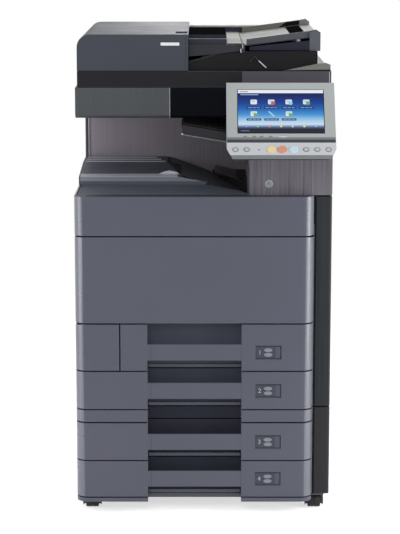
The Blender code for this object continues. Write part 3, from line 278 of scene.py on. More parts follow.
def soften(node, finish, edge=0.0008, steps=2, zones=()):
    """A copy of a frame piece with its doubles merged, its flats joined and its edges rounded. A
    zone is a second material and a test on the faces' centres and normals."""
    mesh = frame["nodes"][node].data.copy()
    mesh.name = node + "_shell"
    shape = bmesh.new()
    shape.from_mesh(mesh)
    bmesh.ops.remove_doubles(shape, verts=shape.verts, dist=1e-5)
    bmesh.ops.dissolve_limit(shape, angle_limit=math.radians(0.4), verts=shape.verts,
        edges=shape.edges)
    shape.to_mesh(mesh)
    shape.free()
    if "custom_normal" in mesh.attributes:
        mesh.attributes.remove(mesh.attributes["custom_normal"])
    mesh.shade_smooth()
    mesh.set_sharp_from_angle(angle=math.radians(30))
    made = put_in(node + "_shell", mesh)
    mesh.materials.clear()
    mesh.materials.append(finish)
    count = len(mesh.polygons)
    centre, normal = np.empty(count * 3), np.empty(count * 3)
    mesh.polygons.foreach_get("center", centre)
    mesh.polygons.foreach_get("normal", normal)
    which = np.zeros(count, int)
    for number, (second, test) in enumerate(zones, 1):
        mesh.materials.append(second)
        which[test(*centre.reshape(-1, 3).T, normal.reshape(-1, 3).T)] = number
    mesh.polygons.foreach_set("material_index", which)
    return fit(ease(made, edge, steps), None, home[node], slots[node], node)


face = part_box("cassette_4_front")[0][1]  # world Y of the fronts


def at(setback):
    """World Y of a point that far behind the fronts."""
    return face + setback


slate = moulded("slate_plastic", (81, 83, 97), 0.34, 0.44)
# A lighter slate on the fronts' round upright corners: a painted highlight.
slate_corner_highlight = moulded("slate_corner_highlight", (108, 110, 121), 0.3, 0.6)
base_paint = moulded("base_paint", (50, 50, 54), 0.5, 0.3, grain=500.0)
soften("base_frame", base_paint, 0.0005, 2,
    [(slate, lambda x, y, z, n: (y < at(0.0445)) & (z > 0.0299))])


def turned(name, profile, centre, axis, sides=48):
    """A profile of (radius, distance along the axis) turned about an axis through a centre."""
    profile = np.asarray(profile, float)
    axis = np.asarray(axis, float) / np.linalg.norm(axis)
    side = np.cross(axis, (0, 0, 1) if abs(axis[2]) < 0.9 else (1, 0, 0))
    side /= np.linalg.norm(side)
    up = np.cross(axis, side)
    angle = np.linspace(0, 2 * np.pi, sides, endpoint=False)
    circle = np.cos(angle)[:, None] * side + np.sin(angle)[:, None] * up
    grid = np.asarray(centre) + profile[:, :1, None] * circle[None] + profile[:, 1:, None] * axis
    return skin(name, grid)


rubber = moulded("wheel_rubber", (44, 44, 45), 0.62, 0.3, 0.08, 700.0, 0.1)
castor_black = moulded("castor_black", (54, 54, 56), 0.5, 0.35)
for node in [n for n in frame["nodes"] if n.startswith("castor_wheel")]:
    low, high = np.array(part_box(node))
    middle, r, h = (low + high) / 2, (high[2] - low[2]) / 2, (high[0] - low[0]) / 2
    tread = [(0.0039, -h), (0.009, -h), (0.0098, -h + 0.0015), (0.0112, -h + 0.0015), (0.012, -h),
        (r - 0.002, -h), (r - 0.0006, -h + 0.0006), (r, -h + 0.002), (r, -0.0012),
        (r - 0.0012, 0.0), (r, 0.0012), (r, h - 0.002), (r - 0.0006, h - 0.0006), (r - 0.002, h),
        (0.012, h), (0.0112, h - 0.0015), (0.0098, h - 0.0015), (0.009, h), (0.0039, h),
        (0.0039, -h)]
    fit(turned(node + "_tyre", tread, middle, (1, 0, 0)), rubber, home[node], "wheel_rubber", node)
    for side in (-1, 1):
        cheek = middle + (side * (h + 0.0059), 0, 0)
        dome = [(0, 0), (0.0115, 0), (0.0122, 0.0006), (0.0122, 0.001), (0.006, 0.0016),
            (0.0052, 0.0012), (0.0, 0.0012)]
        name = f"castor_disc_{node[13:]}_{'right' if side > 0 else 'left'}"
        fit(turned(name, dome, cheek, (side, 0, 0), 40), castor_black, "cabinet", "base_steel")

# ---------------------------------------------------------------- sheet-steel frame
# Side plates, rear plate and shelves of zinc-coated steel, riveted together. The frame carries
# the cassettes, the engine and the scanner, and is seen when a cover is open.


def rolled_metal(name, colour, roughness, grain, stretch=(1, 1, 1)):
    """Sheet metal: a slow pattern of crystals or rolling marks in the colour and the roughness."""
    made, tree, shader = blank(name)
    place = wire(tree, "Mapping",
        {"Vector": wire(tree, "TexCoord", {}, "Object"), "Scale": stretch})
    pattern = wire(tree, "TexNoise", {"Vector": place, "Scale": grain, "Detail": 4.0}, "Fac")
    ramp = wire(tree, "ValToRGB", {"Fac": pattern})
    for stop, position, factor in zip(ramp.node.color_ramp.elements, (0.3, 0.7), (0.9, 1.1)):
        stop.position = position
        stop.color = (*np.minimum(np.array(shade(*colour)[:3]) * factor, 1), 1)
    rough = wire(tree, "MapRange",
        {"Value": pattern, "To Min": roughness - 0.08, "To Max": roughness + 0.08})
    tree.links.new(ramp, shader["Base Color"])
    tree.links.new(rough, shader["Roughness"])
    shader["Metallic"].default_value = 1.0
    return made


def dress(node, finish):
    """A frame piece whose shape is right keeps it and takes a finish."""
    for slot in frame["nodes"][node].material_slots:
        slot.material = finish


zinc = rolled_metal("zinc_sheet", (176, 178, 180), 0.42, 45.0)
dress("main_frame", zinc)

# ---------------------------------------------------------------- engine units
# Laser unit, transfer belt, four toner bottles and the fuser: moulded housings that slide in on
# their seats. They are seen when the front cover is down.
black_satin = moulded("black_satin", (30, 30, 34), 0.42, 0.18)
for node, width in (("laser_unit", 0.002), ("transfer_belt_unit", 0.0006), ("fuser_unit", 0.001)):
    soften(node, black_satin, width)
for colour, tone in (("yellow", (206, 176, 40)), ("cyan", (30, 132, 178)),
        ("magenta", (178, 42, 104)), ("black", (44, 44, 46))):
    toner = moulded("toner_" + colour, tone, 0.5, 0.3)
    node = "toner_bottle_" + colour
    soften(node, toner, 0.002)
    low, high = np.array(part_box(node))
    middle = ((low[0] + high[0]) / 2, low[1], (low[2] + high[2]) / 2)
    cap = [(0, 0.001), (0.028, 0.001), (0.028, -0.003), (0.026, -0.005), (0.012, -0.005),
        (0.011, -0.007), (0, -0.007)]
    fit(turned("toner_cap_" + colour, cap, middle, (0, 1, 0), 48), black_satin, "cabinet",
        "toner_" + colour)

# ---------------------------------------------------------------- cassettes
# Four drawers that pull out on the frame's shelves. Each is a hollow moulded front with a grip
# bar across its recess and a number window, a paper tray behind it, and a hinged steel plate.


def raised(outline, axis, level):
    """A flat outline as points at a level on an axis. It is in (Y, Z) for X, (X, Z) for Y and
    (X, Y) for Z."""
    u, v = np.asarray(outline, float).T
    height = np.full(len(u), level)
    return np.stack({"X": (height, u, v), "Y": (u, height, v), "Z": (u, v, height)}[axis], axis=-1)


def slab(name, outline, axis, low, high, edge=0.0, steps=2):
    """A flat outline carried straight along an axis from one level to another."""
    made = skin(name, [raised(outline, axis, low), raised(outline, axis, high)], ends=True)
    return ease(made, edge, steps) if edge else made


def trim(name, outline, axis, low, high, edge, finish, slot, body="cabinet", steps=2):
    """A slab with its edges rounded, in its finish and on its body."""
    return fit(slab(name, outline, axis, low, high, edge, steps), finish, body, slot)


def band(x, foot, head):
    """The outline between a lower and an upper line over the same points."""
    return np.concatenate([np.stack([x, foot], -1), np.stack([x, head], -1)[::-1]])


def ring(name, outer, inner, axis, low, high):
    """A rim: the space between two like outlines, carried along an axis."""
    corners = ((outer, low), (outer, high), (inner, high), (inner, low), (outer, low))
    return skin(name, [raised(line, axis, level) for line, level in corners])


def rectangle(u0, u1, v0, v1, radius=0.0, steps=5):
    """A rectangle's outline with round corners."""
    if not radius:
        return [(u0, v0), (u1, v0), (u1, v1), (u0, v1)]
    arc = np.linspace(0, np.pi / 2, steps + 1)
    centres = ((u1 - radius, v1 - radius), (u0 + radius, v1 - radius), (u0 + radius, v0 + radius),
        (u1 - radius, v0 + radius))
    return [(u + radius * math.cos(a + k * np.pi / 2), v + radius * math.sin(a + k * np.pi / 2))
            for k, (u, v) in enumerate(centres) for a in arc]


def numeral(name, words, size, depth, centre):
    """A numeral as a solid, made lying down and turned up to face the front, at a centre."""
    curve = bpy.data.curves.new(name, "FONT")
    curve.body = words
    curve.size, curve.extrude = size, depth
    curve.align_x = curve.align_y = "CENTER"
    holder = put_in(name, curve)
    bpy.context.view_layer.update()
    solid = holder.evaluated_get(bpy.context.evaluated_depsgraph_get())
    mesh = bpy.data.meshes.new_from_object(solid)
    bpy.data.objects.remove(holder)
    settle(mesh, 1e-6)
    points = np.empty(len(mesh.vertices) * 3)
    mesh.vertices.foreach_get("co", points)
    x, y, z = points.reshape(-1, 3).T
    points = np.stack([x + centre[0], centre[1] - z, y + centre[2]], axis=-1)
    mesh.vertices.foreach_set("co", points.ravel())
    mesh.update()
    return put_in(name, mesh)


charcoal = moulded("charcoal_plastic", (46, 46, 49), 0.48, 0.16)
plate_steel = rolled_metal("plate_steel", (186, 188, 190), 0.38, 30.0, (1, 12, 1))
ink = moulded("number_ink", (176, 178, 188), 0.5, 0.2, 0.02)
window_grey = moulded("window_grey", (134, 136, 146), 0.4, 0.3, 0.02)
window_slate = moulded("window_slate", (80, 83, 94), 0.4, 0.3, 0.02)
window_dark = moulded("window_dark", (66, 68, 80), 0.4, 0.3, 0.02)
line_dark = moulded("line_dark", (38, 39, 46), 0.5, 0.2)
pad_grey = moulded("pad_grey", (66, 62, 60), 0.7, 0.1, 0.08, 600.0)
recess_left, recess_right = -0.1315, 0.0902


def at_corner(x, y, z, n):
    """The round upright corners of a front, which take a painted highlight."""
    return (abs(n[0]) > 0.25) & (n[1] < -0.1) & (abs(n[2]) < 0.3) & (abs(x) > 0.2)


def in_recess(x, y, z, n):
    """The recess's rear wall, which takes a painted shade."""
    return (x > recess_left) & (x < recess_right) & (n[1] < -0.9) & (y > at(0.03))


# Each cassette's recess wall takes its own darker copy of the slate: painted shade.
recess_shade_colours = ((85, 89, 102), (68, 72, 84), (48, 50, 61), (51, 54, 66))
recess_shade_tones = {number: moulded(f"recess_shaded_slate_{number}", tone, 0.6, 0.1)
                for number, tone in enumerate(recess_shade_colours, 1)}
grip_feet = {4: 0.0672, 3: 0.1576, 2: 0.282, 1: 0.3749}  # heights of the grip bars' lower edges
sweep = np.linspace(0, 2 * np.pi, 24, endpoint=False)
sunk = at(0.0015)  # the grip bars stand that far behind the fronts
for number in (4, 3, 2, 1):
    front, tray, plate = (f"cassette_{number}_{kind}" for kind in ("front", "tray", "lift_plate"))
    body = home[front]
    soften(front, slate, 0.0011, 3, [(recess_shade_tones[number], in_recess), (slate_corner_highlight, at_corner)])
    soften(tray, charcoal, 0.0006)
    soften(plate, plate_steel, 0.0004)
    low, high = np.array(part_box(plate))
    pad_y = (low[1] + high[1]) / 2
    trim(f"lift_pad_{number}",
        rectangle(high[0] - 0.08, high[0] - 0.048, pad_y - 0.035, pad_y + 0.035, 0.004), "Z",
        high[2] - 0.0002, high[2] + 0.0004, 0, pad_grey, "black_plastic", home[plate])
    middle = grip_feet[number] + 0.01925
    # The window: a dark rim round the numeral, a level mark of two lenses, and a dark strip.
    foot, head = middle - 0.0155, middle + 0.0155
    fit(ring(f"window_rim_{number}", rectangle(0.1216, 0.1832, foot, head, 0.002),
            rectangle(0.1232, 0.1816, foot + 0.0015, head - 0.0015, 0.001), "Y", sunk + 0.0002,
            sunk - 0.0006), line_dark, body, "slate_cover")
    for kind, u0, u1, finish, proud in (("well", 0.1234, 0.1706, window_dark, 0.0002),
            ("strip", 0.1712, 0.1814, window_slate, 0.0003)):
        trim(f"window_{kind}_{number}",
            rectangle(u0, u1, middle - 0.0138, middle + 0.0138, 0.0008), "Y", sunk - proud,
            sunk + 0.0002, 0, finish, "slate_cover", body)
    for half, side in (("upper", 1), ("lower", -1)):
        lens = np.stack([0.1528 + 0.0098 * np.cos(sweep),
                middle + side * 0.0056 + 0.0046 * np.sin(sweep)], axis=-1)
        trim(f"window_level_{half}_{number}", lens, "Y", sunk - 0.001, sunk - 0.0001, 0.0002,
            window_grey, "slate_cover", body)
    fit(numeral(f"numeral_{number}", str(number), 0.015, 0.00025, (0.133, sunk - 0.0009, middle)),
        ink, body, "slate_cover")
    trim(f"grip_joint_{number}",
        rectangle(-0.1235, -0.1229, grip_feet[number] + 0.001, grip_feet[number] + 0.0375), "Y",
        at(0.00035), at(0.0008), 0, line_dark, "slate_cover", body)
    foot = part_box(front)[0][2]
    trim(f"recess_foot_{number}",
        rectangle(recess_left + 0.001, recess_right - 0.001, foot + 0.0005, foot + 0.0085), "Y",
        at(0.0352), at(0.0381), 0.0006, slate, "slate_cover", body)

# ---------------------------------------------------------------- fixed band and front doors
# The blind band is screwed to the engine's base. The waste toner door and the front cover over
# the toner are hollow mouldings on pin hinges along their lower edges.
soften("engine_band", slate, 0.0011, 3, [(recess_shade_tones[3], in_recess), (slate_corner_highlight, at_corner)])
for node in ("waste_toner_door", "front_cover"):
    soften(node, slate, 0.0011, 3, [(slate_corner_highlight, at_corner)])

# ---------------------------------------------------------------- top cover and its shelf
# One moulding in the fronts' plastic, screwed to the frame from behind: the band over the front
# cover, and the flat shelf in front of the exit tray. The shelf's top is a lighter copy of the
# slate, painted light; near its front a dark strip is painted shade where a groove is, with a
# painted highlight line behind it, and its left edge has a painted highlight beside a dark groove.
# The shelf's upward faces take a lighter copy of the fronts' slate: painted light.
shelf_lightened_slate = moulded("shelf_lightened_slate", (92, 96, 109), 0.5, 0.2)
soften("top_front_cover", slate, 0.0014, 3, [
    (shelf_lightened_slate, lambda x, y, z, n: (z > 0.7628) & (n[2] > 0.9)), (slate_corner_highlight, at_corner)])
gap_black = moulded("gap_black", (18, 20, 26), 0.6, 0.1)
# On the shelf: a dark strip of painted shade where a groove is, and a pale line behind it and a
# pale strip on its left edge, both painted highlights.
shelf_groove_shade = moulded("shelf_groove_shade", (56, 58, 67), 0.5, 0.2)
edge_highlight_grey = moulded("edge_highlight_grey", (190, 192, 202), 0.38, 0.35)
shelf_highlight_line = moulded("shelf_highlight_line", (98, 101, 112), 0.45, 0.3)
shelf_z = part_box("top_front_cover")[1][2]
for name, u0, u1, near, far, finish in (
        ("shelf_groove_shade", -0.272, 0.245, 0.008, 0.04, shelf_groove_shade),
        ("shelf_highlight_line", -0.278, 0.245, 0.042, 0.056, shelf_highlight_line),
        ("shelf_left_highlight", -0.3002, -0.2972, 0.038, 0.204, edge_highlight_grey),
        ("shelf_left_groove", -0.297, -0.2945, 0.04, 0.204, gap_black)):
    trim(name, rectangle(u0, u1, at(near), at(far), 0.001), "Z", shelf_z - 0.0002,
        shelf_z + 0.0005, 0.0001, finish, "slate_cover")

# ---------------------------------------------------------------- exit tray
# The platform under the scanner with its sheet ramp, moulded in dark plastic, and the silver
# riser that edges it.
platform_grey = moulded("platform_grey", (92, 96, 108), 0.5, 0.2)
ramp_dark = moulded("ramp_dark", (46, 46, 49), 0.5, 0.1)
soften("exit_tray", platform_grey, 0.0008, 2,
    [(ramp_dark, lambda x, y, z, n: (x > -0.088) & (n[2] > -0.5))])
silver = moulded("silver_plastic", (176, 181, 182), 0.4, 0.3)
riser_grey = moulded("riser_grey", (132, 134, 146), 0.36, 0.4)
rib_black = moulded("rib_black", (48, 49, 54), 0.34, 0.35)
# A mid grey for the painted highlights along the ramp's ribs.
rib_highlight_grey = moulded("rib_highlight_grey", (84, 86, 94), 0.36, 0.35)
# A pale grey for a few small pale parts, and mostly for painted highlights on edges and tips.
pale_grey_and_highlight = moulded("pale_grey_and_highlight", (196, 198, 206), 0.35, 0.4)
# A pale grey for painted highlights on the platform's edges.
lip_highlight_grey = moulded("lip_highlight_grey", (190, 192, 202), 0.4, 0.3)
front_edge, level_edge = 0.2077, 0.38
platform_z, level_z = shelf_z + 0.02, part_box("exit_tray")[1][2]
ramp_x, ramp_slope, column_x = -0.05, 0.36, 0.1086
left_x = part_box("exit_tray")[0][0]
lip_rear, platform_slope = 0.236, (level_z - platform_z) / (level_edge - front_edge)
trim("riser_strip", [(left_x + 0.0006, shelf_z + 0.0086), (0.001, shelf_z + 0.0086),
        (-0.06, platform_z - 0.0002), (left_x + 0.0006, platform_z - 0.0002)], "Y", at(0.2064),
    at(0.208), 0.0004, riser_grey, "panel_silver")
# A foot under the riser in the shelf's lighter slate, which is painted light.
trim("riser_foot", rectangle(left_x + 0.0006, 0.008, shelf_z + 0.0003, shelf_z + 0.0084), "Y",
    at(0.2066), at(0.208), 0.0002, shelf_lightened_slate, "slate_cover")
# A pale lip along the platform's front edge: a painted highlight.
lip = [(at(front_edge - 0.0013), platform_z - 0.0001),
    (at(lip_rear), platform_z + (lip_rear - front_edge) * platform_slope - 0.0001),
    (at(lip_rear), platform_z + (lip_rear - front_edge) * platform_slope + 0.0012),
    (at(front_edge - 0.0013), platform_z + 0.0012)]
trim("riser_lip_highlight", lip, "X", left_x + 0.0006, -0.062, 0.0004, lip_highlight_grey, "panel_silver")
tip_z = platform_z + (lip_rear - front_edge) * platform_slope
# A pale patch where the ramp begins: a painted highlight.
trim("riser_tip_highlight", [(-0.11, tip_z), (-0.056, tip_z), (-0.066, tip_z + 0.0062),
        (-0.082, tip_z + 0.009), (-0.095, tip_z + 0.0062)], "Y", at(lip_rear - 0.001),
    at(lip_rear + 0.002), 0.0004, pale_grey_and_highlight, "panel_silver")
# Pale lines along the rear platform's ledges: painted highlights.
for row, (near, far) in enumerate(((0.382, 0.399), (0.424, 0.443), (0.466, 0.482))):
    trim(f"platform_ledge_{row}",
        rectangle(left_x + 0.004, -0.094 - 0.012 * row, at(near), at(far), 0.0005), "Z",
        level_z - 0.0002, level_z + 0.001, 0.0004, lip_highlight_grey, "black_plastic")


def ramp_z(x):
    """Height of the ramp under a point."""
    return platform_z - (x - ramp_x) * ramp_slope


rib_pitch, rib_width = 0.0255, 0.0032
swell = np.sin(np.pi * np.linspace(0.12, 0.94, 9)) ** 0.5
for rib in range(11):
    setback = 0.222 + rib * rib_pitch
    start = ramp_x - (0.03 if setback > level_edge else 0.004)
    end = min(column_x - 0.008, -0.03 + 0.145 * (1 - max(0.0, setback - 0.3) / 0.3))
    x = np.linspace(start, end, 9)
    top = ramp_z(x) + np.where(x < 0.035, 0.003, 0.0012) * swell
    # Each rib has a lighter strip along its top: a painted highlight.
    for kind, foot, head, finish in (("rib", ramp_z(x) - 0.0004, top, ramp_dark),
                                     ("rib_edge", top - 0.0001, top + 0.0011, rib_highlight_grey)):
        trim(f"ramp_{kind}_{rib}", band(x, foot, head), "Y", at(setback), at(setback + rib_width),
            0.0003, finish, "black_plastic")
x = np.linspace(0.03, 0.104, 7)
arch = np.sin(np.pi * (x - 0.03) / 0.074)
trim("pocket_hood", band(x, ramp_z(x) + 0.02 + 0.004 * arch, ramp_z(x) + 0.0235 + 0.006 * arch),
    "Y", at(0.335), at(0.47), 0.001, rib_black, "black_plastic")

# ---------------------------------------------------------------- rear wall and column
# The wall behind the exit space and the upright that carries the scanner, in a brushed
# brown-grey plastic. The column has the sheet slot in its inner wall.


def brushed_surface():
    """The brushed plastics' shared effect: long streaks that run upwards, made by squeezing a
    pattern across and stretching it along Z, with a finer set over a broader one."""
    group, given, result = effect("brushed_surface", ("Colour", "Contrast", "Roughness"))
    drawn = wire(group, "Mapping",
        {"Vector": wire(group, "TexCoord", {}, "Object"), "Scale": (1, 1, 0.012)})
    broad, fine = (wire(group, "TexNoise", {"Vector": drawn, "Scale": scale, "Detail": 3.0}, "Fac")
        for scale in (190.0, 700.0))
    joined = wire(group, "Mix", {"Factor": 0.4, "A": broad, "B": fine}, "Result")
    below, above = (wire(group, "Math", {0: 1.0, 1: given["Contrast"]}, operation=way)
        for way in ("SUBTRACT", "ADD"))
    ranged = wire(group, "MapRange",
        {"Value": joined, "From Min": 0.35, "From Max": 0.65, "To Min": below, "To Max": above})
    tinted = wire(group, "VectorMath", {0: given["Colour"], "Scale": ranged}, operation="SCALE")
    group.links.new(tinted, result["Colour"])
    rough = wire(group, "Math", {0: ranged, 1: given["Roughness"]}, operation="MULTIPLY")
    group.links.new(rough, result["Roughness"])
    group.links.new(joined, result["Height"])
    return group


streaked = brushed_surface()


def brushed(name, colour, contrast=0.25, roughness=0.38, gloss=0.35, relief=0.00003):
    """A brushed plastic of one colour."""
    return surfaced(name, streaked, gloss, relief, Colour=shade(*colour), Contrast=contrast,
        Roughness=roughness)


umber = brushed("brushed_umber", (148, 141, 151), 0.09, 0.42, 0.25)
umber_column = brushed("brushed_umber_column", (107, 104, 112), 0.38)
soften("inner_back_panel", umber, 0.0005)
soften("right_column", umber_column, 0.0012, 3)
soften("power_key", silver, 0.0006)
post_x = -0.293
# A pale strip down the wall's left edge: a painted highlight, beside its shadow.
trim("wall_edge_highlight", rectangle(post_x, post_x + 0.0022, level_z + 0.0006, 0.9352, 0.0006), "Y",
    at(0.4975), at(0.5003), 0.0004, pale_grey_and_highlight, "brushed_umber")
trim("wall_edge_shadow", rectangle(left_x + 0.0004, post_x - 0.0003, level_z + 0.0006, 0.9352),
    "Y", at(0.4982), at(0.5003), 0, rib_black, "brushed_umber")
(key_left, key_face, key_foot), (key_right, _, key_head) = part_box("power_key")
key_x, key_z = (key_left + key_right) / 2, (key_foot + key_head) / 2
collar = [(0.0066, 0.0002), (0.0088, 0.0002), (0.009, -0.0004), (0.0084, -0.001),
    (0.0074, -0.0012), (0.0066, -0.0008), (0.0066, 0.0002)]
fit(turned("power_key_collar", collar, (key_x, at(0.03), key_z), (0, 1, 0), 40), silver, "cabinet",
    "panel_silver")
lamp_ring = [(0.0026, -0.0001), (0.0034, -0.0001), (0.0034, -0.0004), (0.0026, -0.0004),
    (0.0026, -0.0001)]
fit(turned("power_sign_ring", lamp_ring, (key_x, key_face, key_z), (0, 1, 0), 32), rib_black,
    "power_key", "panel_silver")
trim("power_sign_bar", rectangle(key_x - 0.0004, key_x + 0.0004, key_z + 0.0006, key_z + 0.004),
    "Y", key_face - 0.0005, key_face + 0.0001, 0, rib_black, "panel_silver", "power_key")
roller_rubber = moulded("exit_roller", (92, 92, 96), 0.6, 0.2)
roll = [(0, -0.011), (0.0045, -0.011), (0.0052, -0.009), (0.0052, 0.009), (0.0045, 0.011),
    (0, 0.011)]
for spot in range(4):
    middle = (column_x + 0.0092, at(0.135 + spot * 0.078), shelf_z + 0.03)
    fit(turned(f"exit_roller_{spot}", roll, middle, (0, 1, 0), 28), roller_rubber, "cabinet",
        "black_plastic")

# ---------------------------------------------------------------- separator tray
# The short second exit tray, moulded in black plastic with low ribs. It hangs from the column
# under the scanner, and slopes down to the right.
separator_black = moulded("separator_black", (34, 34, 38), 0.36, 0.3)
soften("separator_tray", separator_black, 0.0015, 3)
low, high = np.array(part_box("separator_tray"))
fall = (high[2] - low[2] - 0.024) / (high[0] - low[0])


def separator_top(x):
    """Height of the tray's sloping top over a point."""
    return high[2] - fall * (x - low[0])


x = np.linspace(low[0] + 0.004, high[0] - 0.006, 8)
for rib in range(7):
    y = low[1] + 0.02 + rib * 0.044
    outline = band(x, separator_top(x) - 0.0004, separator_top(x) + 0.0028)
    trim(f"separator_rib_{rib}", outline, "Y", y, y + 0.0025, 0.0006, rib_black, "black_plastic")
x = np.array([low[0], high[0] - 0.001])
trim("separator_rim", band(x, separator_top(x) - 0.0246, separator_top(x) - 0.0222), "Y",
    low[1] - 0.0008, low[1] + 0.0006, 0.0004, riser_grey, "black_plastic")
trim("separator_tip", rectangle(low[0] - 0.0008, low[0] + 0.0042, high[2] - 0.0246,
        high[2] - 0.0205, 0.0008), "Y", low[1] - 0.0014, low[1] + 0.001, 0.0004, pale_grey_and_highlight,
    "black_plastic")
trim("separator_stop", rectangle(0.033, 0.06, high[2] - 0.064, high[2] - 0.044, 0.001), "Y",
    at(0.487), at(0.5003), 0.0006, umber, "brushed_umber")

# ---------------------------------------------------------------- paper path behind the covers
# Black guides with upright ribs on the frame's right-hand plate, and shafts whose rubber rolls
# carry a sheet up past them. A green lever frees a jammed sheet.
plate_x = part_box("main_frame")[1][0]
lever_green = moulded("lever_green", (72, 138, 92), 0.45, 0.3)
shaft_steel = rolled_metal("shaft_steel", (168, 170, 172), 0.3, 120.0)
roll_rubber = moulded("roll_rubber", (58, 58, 61), 0.65, 0.15, 0.06)
shaft = [(0, -0.205), (0.0026, -0.205), (0.0026, 0.205), (0, 0.205)]
roll = np.array([(0.0026, 0), (0.0068, 0), (0.0075, 0.001), (0.0075, 0.026), (0.0068, 0.027),
        (0.0026, 0.027), (0.0026, 0)])
for level, foot, head, shafts in (("upper", 0.29, 0.66, (0.345, 0.48, 0.615)),
        ("lower", 0.075, 0.225, (0.15,))):
    trim(f"guide_{level}", rectangle(at(0.095), at(0.52), foot, head, 0.004), "X",
        plate_x - 0.0004, plate_x + 0.0045, 0.0006, black_satin, "black_plastic")
    for rib in range(13):
        y = at(0.1115 + rib * 0.0325)
        trim(f"guide_rib_{level}_{rib}", rectangle(y, y + 0.0024, foot + 0.006, head - 0.006), "X",
            plate_x + 0.004, plate_x + 0.01, 0.0006, rib_black, "black_plastic")
    for number, z in enumerate(shafts):
        middle = (plate_x + 0.0085, at(0.3075), z)
        fit(turned(f"guide_shaft_{level}_{number}", shaft, middle, (0, 1, 0), 16), shaft_steel,
            "cabinet", "base_steel")
        for spot in range(4):
            name = f"guide_roll_{level}_{number}_{spot}"
            fit(turned(name, roll + (0, -0.162 + spot * 0.0975), middle, (0, 1, 0), 24),
                roll_rubber, "cabinet", "wheel_rubber")
trim("release_lever", rectangle(at(0.066), at(0.086), 0.56, 0.63, 0.006), "X", plate_x + 0.0002,
    plate_x + 0.008, 0.0015, lever_green, "black_plastic", steps=3)
trim("release_lever_arm", rectangle(at(0.08), at(0.104), 0.566, 0.578, 0.003), "X",
    plate_x - 0.0004, plate_x + 0.006, 0.001, lever_green, "black_plastic")

# ---------------------------------------------------------------- side and rear covers
# Thin moulded panels that clip to the frame. The two on the right swing about upright hinges,
# and the upper one holds the folded bypass tray.
soften("left_cover", slate, 0.0008)
soften("rear_cover", charcoal, 0.0008)
umber_side = brushed("brushed_umber_side", (44, 47, 49), 0.25, 0.42, 0.15)
soften("right_lower_cover", charcoal, 0.0012, 3)
soften("right_upper_cover", umber_side, 0.0012, 3)
soften("bypass_tray", charcoal, 0.001, 3)
screw_steel = rolled_metal("screw_steel", (150, 152, 154), 0.4, 90.0)


def pocket(name, side, y0, y1, z0, z1, body, x):
    """A finger pocket on a side cover: a round-cornered rim with a dark floor."""
    outer = rectangle(y0, y1, z0, z1, 0.006)
    inner = rectangle(y0 + 0.0025, y1 - 0.0025, z0 + 0.0025, z1 - 0.0025, 0.004)
    fit(ring(name + "_rim", outer, inner, "X", x - side * 0.0003, x + side * 0.001), umber_side,
        body, "charcoal_cover")
    trim(name + "_floor", rectangle(y0 + 0.0024, y1 - 0.0024, z0 + 0.0024, z1 - 0.0024, 0.004),
        "X", x - side * 0.0003, x + side * 0.0002, 0, gap_black, "charcoal_cover", body)


def screw(name, centre, axis):
    """A pan-head screw with a socket in its head."""
    head = [(0, 0.0006), (0.0013, 0.0006), (0.0016, 0.0018), (0.003, 0.0015), (0.0038, 0.0006),
        (0.0038, -0.0003), (0, -0.0003)]
    fit(turned(name, head, centre, axis, 20), screw_steel, "cabinet", "charcoal_cover")


side_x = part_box("right_upper_cover")[1][0]
# A near-black strip down the front of each right cover beside the drawers: a painted shadow.
for name in ("right_upper_cover", "right_lower_cover"):
    foot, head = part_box(name)[0][2] + 0.002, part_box(name)[1][2] - 0.002
    trim(name + "_edge", rectangle(0.2616, 0.265, foot, head), "Y", at(0.0296), at(0.0302), 0,
        gap_black, "charcoal_cover", name)
pocket("upper_latch", 1, at(0.055), at(0.15), 0.668, 0.7, "right_upper_cover", side_x)
pocket("lower_latch", 1, at(0.055), at(0.15), 0.196, 0.226, "right_lower_cover", side_x)
pocket("bypass_grip", 1, at(0.26), at(0.38), 0.606, 0.626, "bypass_tray",
    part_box("bypass_tray")[1][0])
for row in range(7):
    z = 0.07 + row * 0.011
    trim(f"lower_louvre_{row}", rectangle(at(0.36), at(0.54), z, z + 0.0045, 0.002), "X",
        side_x - 0.0003, side_x + 0.0003, 0, gap_black, "charcoal_cover", "right_lower_cover")
left_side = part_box("left_cover")[0][0]
for column_y in (0.34, 0.49):
    for row in range(12):
        z = 0.56 + row * 0.0105
        trim(f"left_vent_{int(column_y * 100)}_{row}",
            rectangle(at(column_y), at(column_y + 0.12), z, z + 0.0042, 0.002), "X",
            left_side - 0.0003, left_side + 0.0003, 0, gap_black, "slate_cover")
pocket("carry_grip_left", -1, at(0.28), at(0.4), 0.105, 0.14, "cabinet", left_side)
for number, (setback, z) in enumerate(((0.08, 0.075), (0.62, 0.075), (0.08, 0.73), (0.62, 0.9))):
    screw(f"left_screw_{number}", (left_side, at(setback), z), (-1, 0, 0))
back_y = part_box("rear_cover")[1][1]
screw_places = [(x, z) for x in (-0.285, 0.285) for z in (0.06, 0.34, 0.62, 0.91)]
for number, (x, z) in enumerate(screw_places + [(0.0, 0.06), (0.0, 0.91)]):
    screw(f"rear_screw_{number}", (x, back_y, z), (0, 1, 0))
trim("rear_cover_joint", rectangle(-0.296, 0.296, 0.478, 0.4792), "Y", back_y - 0.0003,
    back_y + 0.0002, 0, gap_black, "charcoal_cover")
